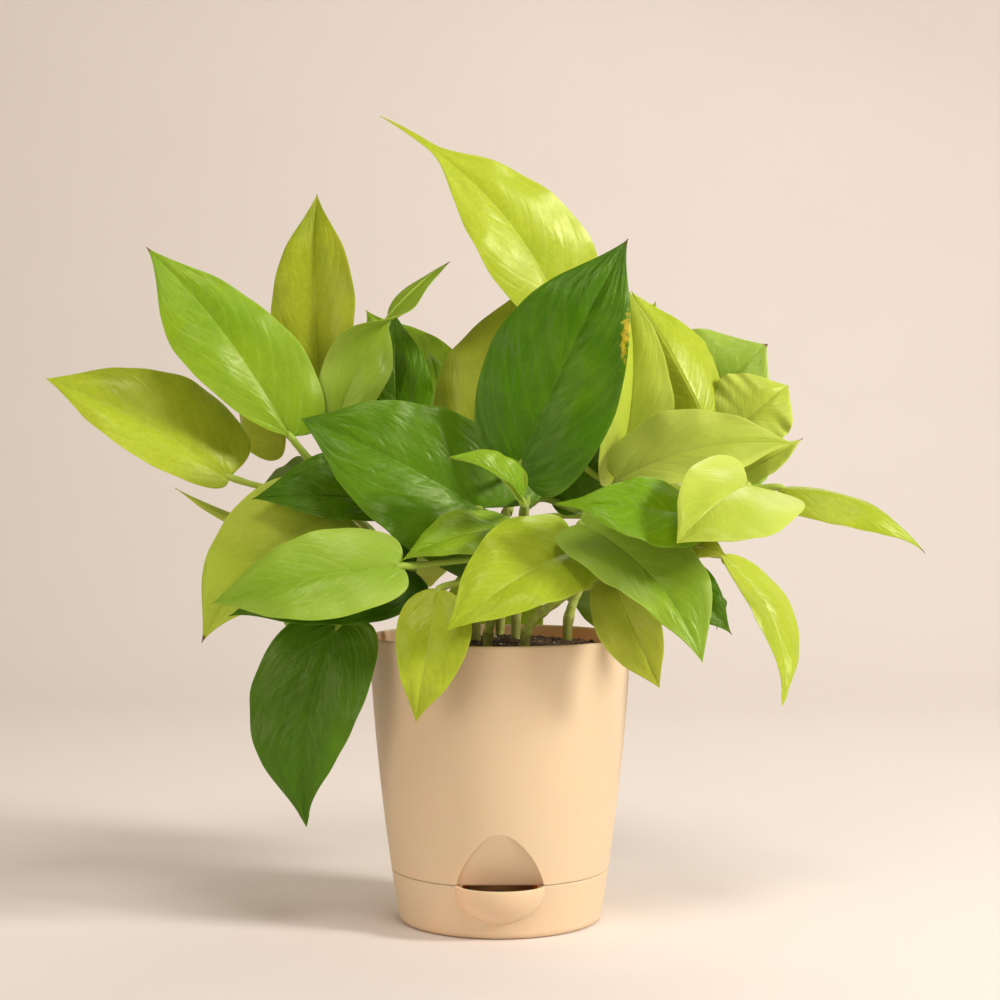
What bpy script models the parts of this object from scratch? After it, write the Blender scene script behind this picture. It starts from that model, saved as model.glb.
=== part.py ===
"""A potted pothos: leaves on climbing stems, rooted in soil, in a self-watering pot.

Metres, +Z up. The origin is the centre of the pot's flat underside and the water inlet faces -Y.
Sizes and the leaf table are in millimetres.
"""

import math
from typing import NamedTuple

import bpy
from mathutils import Matrix, Vector

MM = 0.001

# Pot and reservoir
POT_HEIGHT = 142.0
RIM_RADIUS = 65.6
BASE_RADIUS = 50.2
BELLY = 2.1
WALL = 2.0
BASE_FILLET = 4.0
SEAM_HEIGHT = 26.0
TURNED_SEGMENTS = 48

# The upper pot's floor stands above the seam, and its skirt locates it inside the reservoir.
FLOOR_RISE = 4.0
SKIRT_DEPTH = 6.0
SKIRT_CLEARANCE = 0.4

# Wicking foot: the soil-filled cup under the floor that stands in the water
FOOT_RADIUS = 17.0
FOOT_COLLAR = 2.0
FOOT_LIFT = 6.0
SLOT_WIDTH = 4.0
SLOT_HEIGHT = 7.0

# Water inlet: a scoop on the reservoir and an arched recess above it in the upper pot
SCOOP_HALF_WIDTH = 22.0
SCOOP_REACH = 17.0
SCOOP_DEPTH = 17.0
SCOOP_BULGE = 10.1
SCOOP_WALL = 1.8
RECESS_HALF_WIDTH = 21.0
RECESS_RISE = 27.0
RECESS_DEPTH = 6.2
NOTCH_HALF_WIDTH = 16.0

# Soil
SOIL_BELOW_RIM = 8.0
SOIL_HEAP = 5.0
SOIL_UNEVEN = 1.2
ROOT_DEPTH = 14.0
ROOT_RISE = 2.0

# Plant
STEM_RADIUS = 2.4
STEM_TIP_RADIUS = 1.7
PETIOLE_RADIUS = 1.3
PETIOLE_FOOT_RADIUS = 1.6
PETIOLE_ANGLE = 38.0
LEAF_THICKNESS = 0.7
MIDRIB_DEPTH = 0.8
LOBE = 0.42
WIDEST_AT = 0.34
SHOULDER = 1.7
TAPER = 1.3
TIP_HALF_WIDTH = 0.35

# The space left between pieces that touch
GAP = 0.3

# The stem and leaf tables are laid out for a rim of this radius, and follow the real rim.
TABLE_RIM_RADIUS = 65.6
TABLE_SOIL_HEIGHT = 134.0

STEM_RINGS = 9
PETIOLE_STEPS = 4
BLADE_STEPS = (0.05, 0.14, 0.26, 0.4, 0.54, 0.67, 0.8, 0.91, 1.0)

# Colour and roughness
LOOKS = {
    "pot_plastic": ((0.86, 0.62, 0.45), 0.55),
    "soil": ((0.05, 0.035, 0.025), 0.95),
    "stem": ((0.30, 0.42, 0.08), 0.5),
    "leaf_lime": ((0.45, 0.56, 0.05), 0.4),
    "leaf_olive": ((0.25, 0.31, 0.03), 0.4),
    "leaf_mid": ((0.16, 0.33, 0.03), 0.4),
    "leaf_dark": ((0.05, 0.13, 0.01), 0.4),
}


class Stem(NamedTuple):
    """A climbing stem: where it leaves the soil, and where it ends."""

    name: str
    root: tuple
    top: tuple
    bow: tuple = (0, 0, 0)


class Leaf(NamedTuple):
    """A leaf blade on its stalk.

    at: how far up the stem the stalk starts, from 0 to 1
    face: rough direction that the upper side looks in
    arch, sweep: how far the middle of the midrib bows to the upper side, and to the right
    fold: degrees that each half is raised about the midrib
    curl: how far the margins turn down, as a part of the half-width
    twist: degrees turned about the midrib from base to tip
    """

    name: str
    stem: str
    at: float
    base: tuple
    tip: tuple
    width: float
    face: tuple
    tone: str
    arch: float = 6.0
    sweep: float = 0.0
    fold: float = 10.0
    curl: float = 0.15
    twist: float = 0.0


STEMS = (
    Stem("stem_left_front", (-30, -14), (-58, -20, 186)),
    Stem("stem_left_back", (-34, 12), (-84, 14, 214)),
    Stem("stem_center_left", (-12, -4), (-26, -2, 226)),
    Stem("stem_center", (8, 8), (20, 16, 262)),
    Stem("stem_front", (-6, -30), (12, -34, 176)),
    Stem("stem_right_front", (12, -38), (66, -30, 184)),
    Stem("stem_right_back", (34, 8), (88, 8, 222)),
    Stem("stem_back", (0, 36), (4, 44, 214)),
)

LEAVES = (
    # Left
    Leaf("leaf_far_left", "stem_left_back", 0.95, (-134, -8, 221), (-221, -22, 271), 54,
         (0.3, -0.85, 0.45), "lime"),
    Leaf("leaf_upper_left", "stem_left_back", 1.0, (-103, -14, 241), (-171, -26, 334), 68,
         (0.2, -0.9, 0.3), "mid"),
    Leaf("leaf_left_tall", "stem_left_back", 0.9, (-90, 10, 254), (-94, 18, 365), 50,
         (-0.2, -0.95, 0.25), "olive"),
    Leaf("leaf_left_twisted", "stem_center_left", 0.9, (-80, -4, 252), (-25, 0, 329), 34,
         (0.3, -0.8, 0.5), "mid", sweep=-8, twist=40),
    Leaf("leaf_left_spear", "stem_left_back", 0.7, (-119, 14, 193), (-163, 6, 216), 12,
         (0, -0.7, 0.7), "lime", arch=2, fold=45),
    Leaf("leaf_left_wide", "stem_left_back", 0.6, (-78, -18, 203), (-144, -42, 143), 76,
         (-0.2, -0.95, 0.3), "lime"),
    Leaf("leaf_left_dark", "stem_center_left", 0.75, (-50, -20, 208), (-120, -32, 212), 46,
         (0.1, -0.85, 0.5), "dark"),
    Leaf("leaf_left_pale", "stem_front", 0.75, (-46, -64, 180), (-127, -78, 165), 54,
         (-0.1, -0.9, 0.4), "mid"),
    Leaf("leaf_left_under", "stem_left_front", 0.8, (-42, -34, 176), (-129, -52, 157), 52,
         (0, -0.85, 0.5), "dark"),
    Leaf("leaf_left_hanging", "stem_left_front", 0.5, (-78, -42, 150), (-99, -46, 55), 66,
         (-0.2, -0.95, 0.15), "dark", sweep=3),
    # Middle
    Leaf("leaf_back_dark", "stem_center_left", 0.95, (-52, 16, 235), (-54, 22, 305), 46,
         (0, -0.95, 0.3), "dark"),
    Leaf("leaf_back_small", "stem_back", 0.9, (-31, 44, 245), (-37, 56, 287), 24,
         (0.2, -0.9, 0.3), "mid"),
    Leaf("leaf_center_olive", "stem_center_left", 1.0, (-15, 24, 240), (10, 34, 318), 54,
         (-0.2, -0.9, 0.4), "olive"),
    Leaf("leaf_top", "stem_center", 1.0, (28, 10, 312), (-57, -14, 400), 64,
         (0.3, -0.9, 0.3), "lime"),
    Leaf("leaf_center_large", "stem_center", 0.6, (12, -46, 221), (61, -38, 337), 80,
         (-0.1, -0.95, 0.3), "dark"),
    Leaf("leaf_center_behind", "stem_center", 0.5, (45, 23, 205), (50, 29, 262), 46,
         (-0.1, -0.95, 0.3), "dark"),
    Leaf("leaf_center_left", "stem_center_left", 0.7, (-10, -28, 206), (-93, -52, 250), 76,
         (0.1, -0.95, 0.35), "dark"),
    Leaf("leaf_center_curl", "stem_center", 0.45, (10, -62, 211), (-24, -80, 232), 26,
         (0.2, -0.6, 0.8), "mid"),
    # Front
    Leaf("leaf_front_glossy", "stem_front", 1.0, (6, -44, 196), (-46, -66, 184), 42,
         (-0.1, -0.75, 0.6), "mid"),
    Leaf("leaf_front_lime", "stem_right_front", 0.4, (36, -56, 188), (-24, -100, 154), 66,
         (0.1, -0.8, 0.55), "lime"),
    Leaf("leaf_front_rim", "stem_front", 0.45, (-27, -66, 167), (-37, -80, 109), 40,
         (0, -0.95, 0.3), "lime"),
    Leaf("leaf_front_right", "stem_right_front", 0.7, (44, -64, 194), (93, -92, 139), 66,
         (0.1, -0.85, 0.55), "mid"),
    Leaf("leaf_front_olive", "stem_right_front", 0.6, (54, -52, 172), (74, -72, 124), 38,
         (-0.2, -0.9, 0.3), "olive"),
    Leaf("leaf_right_curl", "stem_right_front", 0.85, (88, -70, 204), (26, -86, 211), 36,
         (0, -0.6, 0.8), "mid"),
    # Right
    Leaf("leaf_right_large", "stem_right_back", 0.6, (58, -12, 220), (142, -34, 239), 72,
         (0.05, -0.85, 0.5), "lime"),
    Leaf("leaf_right_heart", "stem_right_front", 1.0, (116, -68, 218), (82, -106, 192), 60,
         (0.1, -0.75, 0.6), "lime"),
    Leaf("leaf_right_long", "stem_right_back", 0.9, (140, -4, 216), (211, -14, 186), 40,
         (0.2, -0.7, 0.7), "lime"),
    Leaf("leaf_right_hanging", "stem_right_front", 0.95, (108, -26, 183), (138, -44, 113), 54,
         (0.35, -0.9, 0.3), "lime"),
    Leaf("leaf_right_dark", "stem_right_front", 0.8, (80, -46, 176), (109, -62, 149), 26,
         (0, -0.9, 0.3), "dark"),
    Leaf("leaf_right_small", "stem_right_front", 0.9, (84, -42, 188), (108, -52, 184), 20,
         (0, -0.8, 0.6), "olive"),
    Leaf("leaf_right_narrow", "stem_center", 0.75, (58, 10, 219), (64, 14, 321), 60,
         (0.4, -0.85, 0.1), "lime", fold=35),
    Leaf("leaf_right_folded", "stem_right_back", 1.0, (101, 24, 248), (69, 32, 317), 56,
         (-0.2, -0.7, 0.7), "lime"),
    Leaf("leaf_right_wavy", "stem_right_back", 0.95, (115, 32, 238), (147, 30, 275), 44,
         (0.1, -0.9, 0.4), "lime"),
    Leaf("leaf_right_top", "stem_right_back", 0.85, (108, 44, 256), (139, 42, 290), 40,
         (0.1, -0.9, 0.4), "mid"),
    Leaf("leaf_right_tip", "stem_right_back", 0.7, (122, 14, 222), (152, 8, 241), 20,
         (0.1, -0.7, 0.7), "lime"),
    # Back
    Leaf("leaf_back_high", "stem_back", 1.0, (-40, 62, 250), (-72, 98, 310), 64,
         (-0.2, 0.8, 0.5), "mid"),
    Leaf("leaf_back_tall", "stem_back", 0.95, (58, 56, 250), (84, 92, 314), 62,
         (0.2, 0.8, 0.5), "olive"),
    Leaf("leaf_back_middle", "stem_back", 0.8, (12, 74, 214), (18, 138, 206), 68,
         (0, 0.6, 0.8), "lime"),
    Leaf("leaf_back_left", "stem_back", 0.7, (-66, 52, 208), (-132, 84, 214), 62,
         (-0.4, 0.6, 0.7), "dark"),
    Leaf("leaf_back_right", "stem_back", 0.65, (70, 56, 200), (134, 92, 190), 62,
         (0.4, 0.6, 0.7), "mid"),
    Leaf("leaf_back_low_left", "stem_back", 0.5, (-44, 74, 176), (-84, 116, 132), 56,
         (-0.4, 0.7, 0.6), "lime"),
    Leaf("leaf_back_low_right", "stem_back", 0.4, (44, 76, 172), (70, 116, 122), 58,
         (0.4, 0.7, 0.6), "dark"),
    Leaf("leaf_back_hanging", "stem_back", 0.3, (-2, 84, 164), (-8, 108, 88), 56,
         (0, 0.95, 0.2), "mid"),
    Leaf("leaf_side_right", "stem_right_back", 0.9, (112, 58, 226), (140, 96, 250), 50,
         (0.75, 0.1, 0.65), "mid"),
    Leaf("leaf_side_right_low", "stem_right_back", 0.5, (88, 40, 186), (118, 70, 140), 50,
         (0.9, 0.2, 0.4), "dark"),
    Leaf("leaf_side_left", "stem_left_back", 0.85, (-112, 48, 244), (-134, 82, 276), 48,
         (-0.75, 0.2, 0.6), "olive"),
    Leaf("leaf_side_left_low", "stem_left_back", 0.45, (-88, 46, 180), (-112, 76, 134), 52,
         (-0.9, 0.2, 0.4), "mid"),
    Leaf("leaf_back_top", "stem_center", 0.95, (24, 50, 284), (34, 98, 336), 54,
         (0.3, 0.7, 0.7), "lime"),
    Leaf("leaf_back_crown", "stem_center_left", 0.85, (-44, 36, 222), (-84, 50, 256), 38,
         (-0.2, 0.3, 0.9), "olive"),
)


def soil_height():
    return POT_HEIGHT - SOIL_BELOW_RIM


def pot_radius(height):
    """Radius of the outside wall, from the underside at 0 to the rim at POT_HEIGHT."""
    part = height / POT_HEIGHT
    return BASE_RADIUS + (RIM_RADIUS - BASE_RADIUS) * part + BELLY * 4 * part * (1 - part)


def wall_line(bottom, top, inset, steps):
    """(radius, height) points of the wall, set in from the outside by inset."""
    line = []
    for step in range(steps + 1):
        height = bottom + (top - bottom) * step / steps
        line.append((pot_radius(height) - inset, height))
    return line


def make_object(name, points, faces, look, sharp_angle=None):
    mesh = bpy.data.meshes.new(name)
    mesh.from_pydata([Vector(point) * MM for point in points], [], faces)
    mesh.materials.append(bpy.data.materials[look])
    mesh.shade_smooth()
    if sharp_angle is not None:
        mesh.set_sharp_from_angle(angle=math.radians(sharp_angle))
    obj = bpy.data.objects.new(name, mesh)
    bpy.context.scene.collection.objects.link(obj)
    return obj


def make_cutter(name, points, faces):
    cutter = make_object(name, points, faces, "pot_plastic")
    cutter.hide_render = True
    cutter.display_type = "WIRE"
    return cutter


def add_boolean(obj, cutter, operation="DIFFERENCE"):
    modifier = obj.modifiers.new(cutter.name, "BOOLEAN")
    modifier.operation = operation
    modifier.solver = "EXACT"
    modifier.object = cutter


def turned(profile, segments=TURNED_SEGMENTS):
    """A solid of revolution. The profile runs from the axis at the bottom to the axis at the top."""
    points = [(0, 0, profile[0][1])]
    rings = profile[1:-1]
    for radius, height in rings:
        for side in range(segments):
            turn = math.tau * side / segments
            points.append((radius * math.sin(turn), -radius * math.cos(turn), height))
    points.append((0, 0, profile[-1][1]))
    last = len(points) - 1
    faces = []
    for side in range(segments):
        after = (side + 1) % segments
        faces.append((0, 1 + after, 1 + side))
        for ring in range(len(rings) - 1):
            low = 1 + ring * segments
            high = low + segments
            faces.append((low + side, low + after, high + after, high + side))
        top = 1 + (len(rings) - 1) * segments
        faces.append((top + side, top + after, last))
    return points, faces


def turned_ring(profile, segments=TURNED_SEGMENTS):
    """A closed profile that stays clear of the axis, turned about it."""
    points = []
    for radius, height in profile:
        for side in range(segments):
            turn = math.tau * side / segments
            points.append((radius * math.sin(turn), -radius * math.cos(turn), height))
    faces = []
    for row in range(len(profile)):
        low = row * segments
        high = (row + 1) % len(profile) * segments
        for side in range(segments):
            after = (side + 1) % segments
            faces.append((low + side, low + after, high + after, high + side))
    return points, faces


def prism(outline, lift):
    """An outline swept by the vector lift. The outline runs anticlockwise as seen from the far end."""
    count = len(outline)
    far = [tuple(a + b for a, b in zip(point, lift)) for point in outline]
    faces = [tuple(reversed(range(count))), tuple(range(count, 2 * count))]
    for here in range(count):
        after = (here + 1) % count
        faces.append((here, after, count + after, count + here))
    return list(outline) + far, faces


def recess_setback():
    """How far in front of the axis the recess's back face meets the seam."""
    return pot_radius(SEAM_HEIGHT) - RECESS_DEPTH


def recess_cutter(name, grow):
    """The arched recess above the scoop, grown on every side by grow."""
    setback = recess_setback()
    slope = math.atan2(pot_radius(SEAM_HEIGHT + RECESS_RISE) - setback, RECESS_RISE)
    upward = Vector((0, -math.sin(slope), math.cos(slope)))
    outward = Vector((0, -math.cos(slope), -math.sin(slope)))
    foot = Vector((0, -setback, SEAM_HEIGHT)) - outward * grow
    drop = (SKIRT_DEPTH + 4) / math.cos(slope)
    rise = RECESS_RISE / math.cos(slope) + grow
    half_width = RECESS_HALF_WIDTH + grow
    right_side = [(half_width, -drop)]
    for step in range(8):
        part = step / 8
        right_side.append((half_width * (1 - part ** 1.6) ** 0.62, rise * part))
    right_side.append((half_width * 0.28, rise * 0.975))
    left_side = [(-across, along) for across, along in reversed(right_side)]
    outline = []
    for across, along in right_side + [(0, rise)] + left_side:
        outline.append(tuple(foot + Vector((across, 0, 0)) + upward * along))
    reach = outward * (RIM_RADIUS - setback + grow + 10)
    return make_cutter(name, *prism(outline, reach))


def scoop_bowl(inset, above):
    """The scoop's bowl: the lower half of an ellipsoid, with its flat top lifted by above."""
    sides = 32
    levels = 8
    setback = pot_radius(SEAM_HEIGHT) + SCOOP_BULGE - SCOOP_REACH
    points = []
    for level in range(levels):
        dip = math.radians(90) * level / levels
        for side in range(sides):
            turn = math.tau * side / sides
            across = (SCOOP_HALF_WIDTH - inset) * math.cos(dip) * math.cos(turn)
            out = (SCOOP_REACH - inset) * math.cos(dip) * math.sin(turn)
            height = SEAM_HEIGHT - (SCOOP_DEPTH - inset) * math.sin(dip)
            points.append((across, out - setback, height))
    if above > 0:
        lid = [(x, y, SEAM_HEIGHT + above) for x, y, _ in points[:sides]]
        points = lid + points
        levels += 1
    points.append((0, -setback, SEAM_HEIGHT - (SCOOP_DEPTH - inset)))
    last = len(points) - 1
    faces = [tuple(range(sides))]
    for side in range(sides):
        after = (side + 1) % sides
        for level in range(levels - 1):
            high = level * sides
            low = high + sides
            faces.append((low + side, low + after, high + after, high + side))
        bottom = (levels - 1) * sides
        faces.append((last, bottom + after, bottom + side))
    return points, faces


def build_reservoir():
    fillet = []
    for degrees in (0, 22.5, 45, 67.5, 90):
        turn = math.radians(degrees)
        radius = pot_radius(BASE_FILLET) - BASE_FILLET * (1 - math.sin(turn))
        fillet.append((radius, BASE_FILLET * (1 - math.cos(turn))))
    outside = wall_line(BASE_FILLET, SEAM_HEIGHT, 0, 3)[1:]
    profile = [(0, 0)] + fillet + outside + [(0, SEAM_HEIGHT)]
    reservoir = make_object("reservoir", *turned(profile), "pot_plastic", 40)
    corner = pot_radius(BASE_FILLET) - WALL
    inside = wall_line(BASE_FILLET, SEAM_HEIGHT + FLOOR_RISE, WALL, 3)[1:]
    hollow = [(0, WALL), (corner - BASE_FILLET / 2, WALL), (corner, BASE_FILLET)]
    hollow += inside + [(0, SEAM_HEIGHT + FLOOR_RISE)]
    add_boolean(reservoir, make_cutter("scoop_outside", *scoop_bowl(0, 0)), "UNION")
    add_boolean(reservoir, make_cutter("reservoir_hollow", *turned(hollow)))
    add_boolean(reservoir, make_cutter("scoop_hollow", *scoop_bowl(SCOOP_WALL, FLOOR_RISE)))


def build_pot():
    floor = SEAM_HEIGHT + FLOOR_RISE
    skirt_foot = SEAM_HEIGHT - SKIRT_DEPTH
    skirt = pot_radius(skirt_foot) - WALL - SKIRT_CLEARANCE
    shoulder = SEAM_HEIGHT + GAP
    profile = [(0, FOOT_LIFT), (FOOT_RADIUS, FOOT_LIFT), (FOOT_RADIUS, skirt_foot)]
    profile += [(skirt, skirt_foot), (skirt, shoulder)]
    profile += wall_line(shoulder, POT_HEIGHT, 0, 6) + [(0, POT_HEIGHT)]
    pot = make_object("pot", *turned(profile), "pot_plastic", 40)

    hollow = [(0, FOOT_LIFT + WALL), (FOOT_RADIUS - WALL, FOOT_LIFT + WALL)]
    hollow += [(FOOT_RADIUS - WALL, floor + WALL)]
    hollow += wall_line(floor + WALL, POT_HEIGHT + 3, WALL, 6) + [(0, POT_HEIGHT + 3)]
    pot_hollow = make_cutter("pot_hollow", *turned(hollow))
    add_boolean(pot_hollow, recess_cutter("recess_back_above", WALL))

    collar = FOOT_RADIUS + FOOT_COLLAR
    under = [(collar, skirt_foot - 1), (skirt - WALL, skirt_foot - 1)]
    under += [(skirt - WALL, floor), (collar, floor)]
    under_floor = make_cutter("under_floor", *turned_ring(under))
    add_boolean(under_floor, recess_cutter("recess_back_below", WALL))

    half = SLOT_WIDTH / 2
    arm = FOOT_RADIUS + 1
    slot_foot = FOOT_LIFT + WALL + 2
    corners = [(half, half), (arm, half), (arm, -half), (half, -half), (half, -arm), (-half, -arm)]
    corners += [(-x, -y) for x, y in corners]
    outline = [(x, y, slot_foot) for x, y in reversed(corners)]
    slots = make_cutter("foot_slots", *prism(outline, (0, 0, SLOT_HEIGHT)))

    # The skirt stops at the seam behind the scoop, so that water runs in past it.
    side, front, back = NOTCH_HALF_WIDTH, -skirt - 1, SKIRT_DEPTH + WALL - recess_setback()
    outline = [(-side, front), (side, front), (side, back), (-side, back)]
    outline = [(x, y, skirt_foot - 1) for x, y in outline]
    notch = make_cutter("skirt_notch", *prism(outline, (0, 0, SKIRT_DEPTH + 1)))

    add_boolean(pot, recess_cutter("recess", 0))
    add_boolean(pot, pot_hollow)
    add_boolean(pot, under_floor)
    add_boolean(pot, slots)
    add_boolean(pot, notch)


def build_soil():
    floor = SEAM_HEIGHT + FLOOR_RISE + WALL + GAP
    plug = FOOT_RADIUS - WALL - GAP
    edge = soil_height()
    profile = [(0, FOOT_LIFT + WALL + GAP), (plug, FOOT_LIFT + WALL + GAP), (plug, floor)]
    profile += wall_line(floor, edge, WALL + GAP, 5)
    rim = profile[-1][0]
    for part in (0.88, 0.7, 0.5, 0.28):
        profile.append((rim * part, edge + SOIL_HEAP * (1 - part * part)))
    profile.append((0, edge + SOIL_HEAP))
    points, faces = turned(profile)
    uneven = []
    for x, y, z in points:
        if z > edge:
            z += SOIL_UNEVEN * math.sin(x * 0.19 + 1) * math.cos(y * 0.23)
        uneven.append((x, y, z))
    soil = make_object("soil", uneven, faces, "soil", 60)
    add_boolean(soil, recess_cutter("recess_in_soil", WALL + GAP))

    sockets = []
    socket_faces = []
    for stem in STEMS:
        x, y = stem_root(stem)
        outline = []
        for side in range(12):
            turn = -math.tau * side / 12
            across = (STEM_RADIUS + GAP) / math.cos(math.pi / 12)
            outline.append((x + across * math.cos(turn), y + across * math.sin(turn),
                            edge - ROOT_DEPTH - GAP))
        outline.reverse()
        points, faces = prism(outline, (0, 0, ROOT_DEPTH + SOIL_HEAP + SOIL_UNEVEN + 5))
        first = len(sockets)
        sockets += points
        socket_faces += [tuple(first + index for index in face) for face in faces]
    add_boolean(soil, make_cutter("root_sockets", sockets, socket_faces))


def plant_scale():
    return RIM_RADIUS / TABLE_RIM_RADIUS


def in_plant(point):
    """A table position, moved to where the soil is and scaled with the rim."""
    x, y, z = point
    raised = Vector((x, y, z - TABLE_SOIL_HEIGHT)) * plant_scale()
    return raised + Vector((0, 0, soil_height()))


def stem_root(stem):
    return stem.root[0] * plant_scale(), stem.root[1] * plant_scale()


def stem_curve(stem):
    """The four control points of the stem above the soil."""
    x, y = stem_root(stem)
    start = Vector((x, y, soil_height() + SOIL_HEAP + SOIL_UNEVEN + ROOT_RISE))
    top = in_plant(stem.top)
    bow = Vector(stem.bow) * plant_scale()
    climb = (top.z - start.z) * 0.4
    return start, start + Vector((0, 0, climb)), top.lerp(start, 0.3) + bow, top


def bezier(curve, part):
    """(point, direction) on a cubic Bezier."""
    a, b, c, d = curve
    rest = 1 - part
    point = a * rest**3 + b * (3 * rest * rest * part) + c * (3 * rest * part * part) + d * part**3
    slope = (b - a) * (rest * rest) + (c - b) * (2 * rest * part) + (d - c) * (part * part)
    return point, slope.normalized()


def eight_around(point, right, up, radius):
    """A round ring of eight points, from the left edge over the top to the right edge and back."""
    ring = []
    for step in range(8):
        turn = math.pi - math.tau * step / 8
        ring.append(point + right * (radius * math.cos(turn)) + up * (radius * math.sin(turn)))
    return ring


def loft(rings):
    """A closed skin over rings of eight points."""
    points = [point for ring in rings for point in ring]
    last = len(points) - 8
    faces = [tuple(reversed(range(8))), tuple(range(last, last + 8))]
    for low in range(0, last, 8):
        for side in range(8):
            after = (side + 1) % 8
            faces.append((low + side, low + after, low + 8 + after, low + 8 + side))
    return points, faces


def turn_to(direction, up):
    """The part of up that is square to direction."""
    return (up - direction * up.dot(direction)).normalized()


def build_stem(stem):
    curve = stem_curve(stem)
    up = Vector((0, -1, 0))
    root = Vector((curve[0].x, curve[0].y, soil_height() - ROOT_DEPTH))
    rings = [eight_around(root, Vector((1, 0, 0)), up, STEM_RADIUS)]
    for step in range(STEM_RINGS):
        part = step / (STEM_RINGS - 1)
        point, direction = bezier(curve, part)
        up = turn_to(direction, up)
        radius = STEM_RADIUS + (STEM_TIP_RADIUS - STEM_RADIUS) * part
        rings.append(eight_around(point, direction.cross(up), up, radius))
    make_object(stem.name, *loft(rings), "stem")


def blade_frame(leaf, part):
    """(point, direction, right, up) at a place along the midrib."""
    base = in_plant(leaf.base)
    tip = in_plant(leaf.tip)
    direction = (tip - base).normalized()
    up = turn_to(direction, Vector(leaf.face))
    right = direction.cross(up)
    bow = (up * leaf.arch + right * leaf.sweep) * plant_scale()
    middle = (base + tip) / 2 + bow * 2
    point = base.lerp(middle, part).lerp(middle.lerp(tip, part), part)
    direction = (middle.lerp(tip, part) - base.lerp(middle, part)).normalized()
    up = turn_to(direction, up)
    up = Matrix.Rotation(math.radians(leaf.twist * part), 3, direction) @ up
    return point, direction, direction.cross(up), up


def half_width(leaf, part):
    """Round from the base to the widest place, then drawn out to the tip."""
    if part < WIDEST_AT:
        wide = math.sqrt(1 - (1 - part / WIDEST_AT) ** 2)
    else:
        wide = (1 - ((part - WIDEST_AT) / (1 - WIDEST_AT)) ** SHOULDER) ** TAPER
    return max(leaf.width / 2 * plant_scale() * wide, TIP_HALF_WIDTH)


def blade_ring(leaf, part):
    """Eight points round the blade: left edge, three on top, right edge and three below."""
    point, direction, right, up = blade_frame(leaf, part)
    half = half_width(leaf, part)
    fold = math.radians(leaf.fold)
    lobe = LOBE * max(0, 1 - part / WIDEST_AT) ** 1.5
    thin = min(1, half / 3)
    ring = []
    for across, side in ((-1, 0), (-0.55, 1), (0, 1), (0.55, 1), (1, 0), (0.55, -1), (0, -1), (-0.55, -1)):
        out = abs(across)
        lift = half * (out * math.sin(fold) - leaf.curl * out * out)
        lift += side * LEAF_THICKNESS / 2 * thin
        if across == 0 and side < 0:
            lift -= MIDRIB_DEPTH * (1 - part) * thin
        place = point + right * (half * across * math.cos(fold)) + up * lift
        ring.append(place - direction * (lobe * half * out**1.5))
    return ring


def build_leaf(leaf, stem):
    point, axis = bezier(stem_curve(stem), leaf.at)
    base, direction, _, up = blade_frame(leaf, 0)
    side = turn_to(axis, base - point)
    angle = math.radians(PETIOLE_ANGLE)
    leave = side * math.cos(angle) + axis * math.sin(angle)
    clear = (STEM_RADIUS + GAP + PETIOLE_FOOT_RADIUS * math.sin(angle)) / math.cos(angle)
    start = point + leave * clear
    span = (base - start).length
    arrive = ((base - start).normalized() * 0.6 + direction * 0.4).normalized()
    curve = (start, start + leave * span * 0.35, base - arrive * span * 0.35, base)
    rings = []
    for step in reversed(range(PETIOLE_STEPS + 1)):
        part = step / PETIOLE_STEPS
        point, along = bezier(curve, part)
        up = turn_to(along, up)
        radius = PETIOLE_FOOT_RADIUS + (PETIOLE_RADIUS - PETIOLE_FOOT_RADIUS) * part
        rings.insert(0, eight_around(point, along.cross(up), up, radius))
    for part in BLADE_STEPS:
        rings.append(blade_ring(leaf, part))
    make_object(leaf.name, *loft(rings), "leaf_" + leaf.tone)


def clear_scene():
    for obj in list(bpy.data.objects):
        bpy.data.objects.remove(obj, do_unlink=True)


def make_materials():
    for name, (colour, roughness) in LOOKS.items():
        material = bpy.data.materials.new(name)
        material.use_nodes = True
        shader = material.node_tree.nodes["Principled BSDF"]
        shader.inputs["Base Color"].default_value = (*colour, 1)
        shader.inputs["Roughness"].default_value = roughness
        shader.inputs["Metallic"].default_value = 0


def build():
    clear_scene()
    make_materials()
    build_reservoir()
    build_pot()
    build_soil()
    for stem in STEMS:
        build_stem(stem)
    stems = {stem.name: stem for stem in STEMS}
    for leaf in LEAVES:
        build_leaf(leaf, stems[leaf.stem])


build()
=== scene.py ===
"""The looks of the potted pothos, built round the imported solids.

The plant and pot are in millimetres. Stage, lights and camera are in metres.
"""

import math
import random
from typing import NamedTuple

import bmesh
import bpy
import numpy as np
from mathutils import Matrix, Vector


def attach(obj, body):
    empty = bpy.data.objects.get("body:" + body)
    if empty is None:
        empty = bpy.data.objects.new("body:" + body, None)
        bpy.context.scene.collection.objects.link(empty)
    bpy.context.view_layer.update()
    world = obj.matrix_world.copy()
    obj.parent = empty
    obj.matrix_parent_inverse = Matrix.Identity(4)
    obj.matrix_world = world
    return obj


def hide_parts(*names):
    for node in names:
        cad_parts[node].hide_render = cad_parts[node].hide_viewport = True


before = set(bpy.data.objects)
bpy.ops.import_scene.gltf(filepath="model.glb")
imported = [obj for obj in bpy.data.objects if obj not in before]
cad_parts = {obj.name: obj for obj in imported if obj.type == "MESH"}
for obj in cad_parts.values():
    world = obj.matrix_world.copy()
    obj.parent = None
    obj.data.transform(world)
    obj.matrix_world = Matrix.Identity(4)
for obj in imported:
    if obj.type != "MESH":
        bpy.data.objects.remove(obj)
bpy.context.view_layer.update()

MM = 0.001

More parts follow.
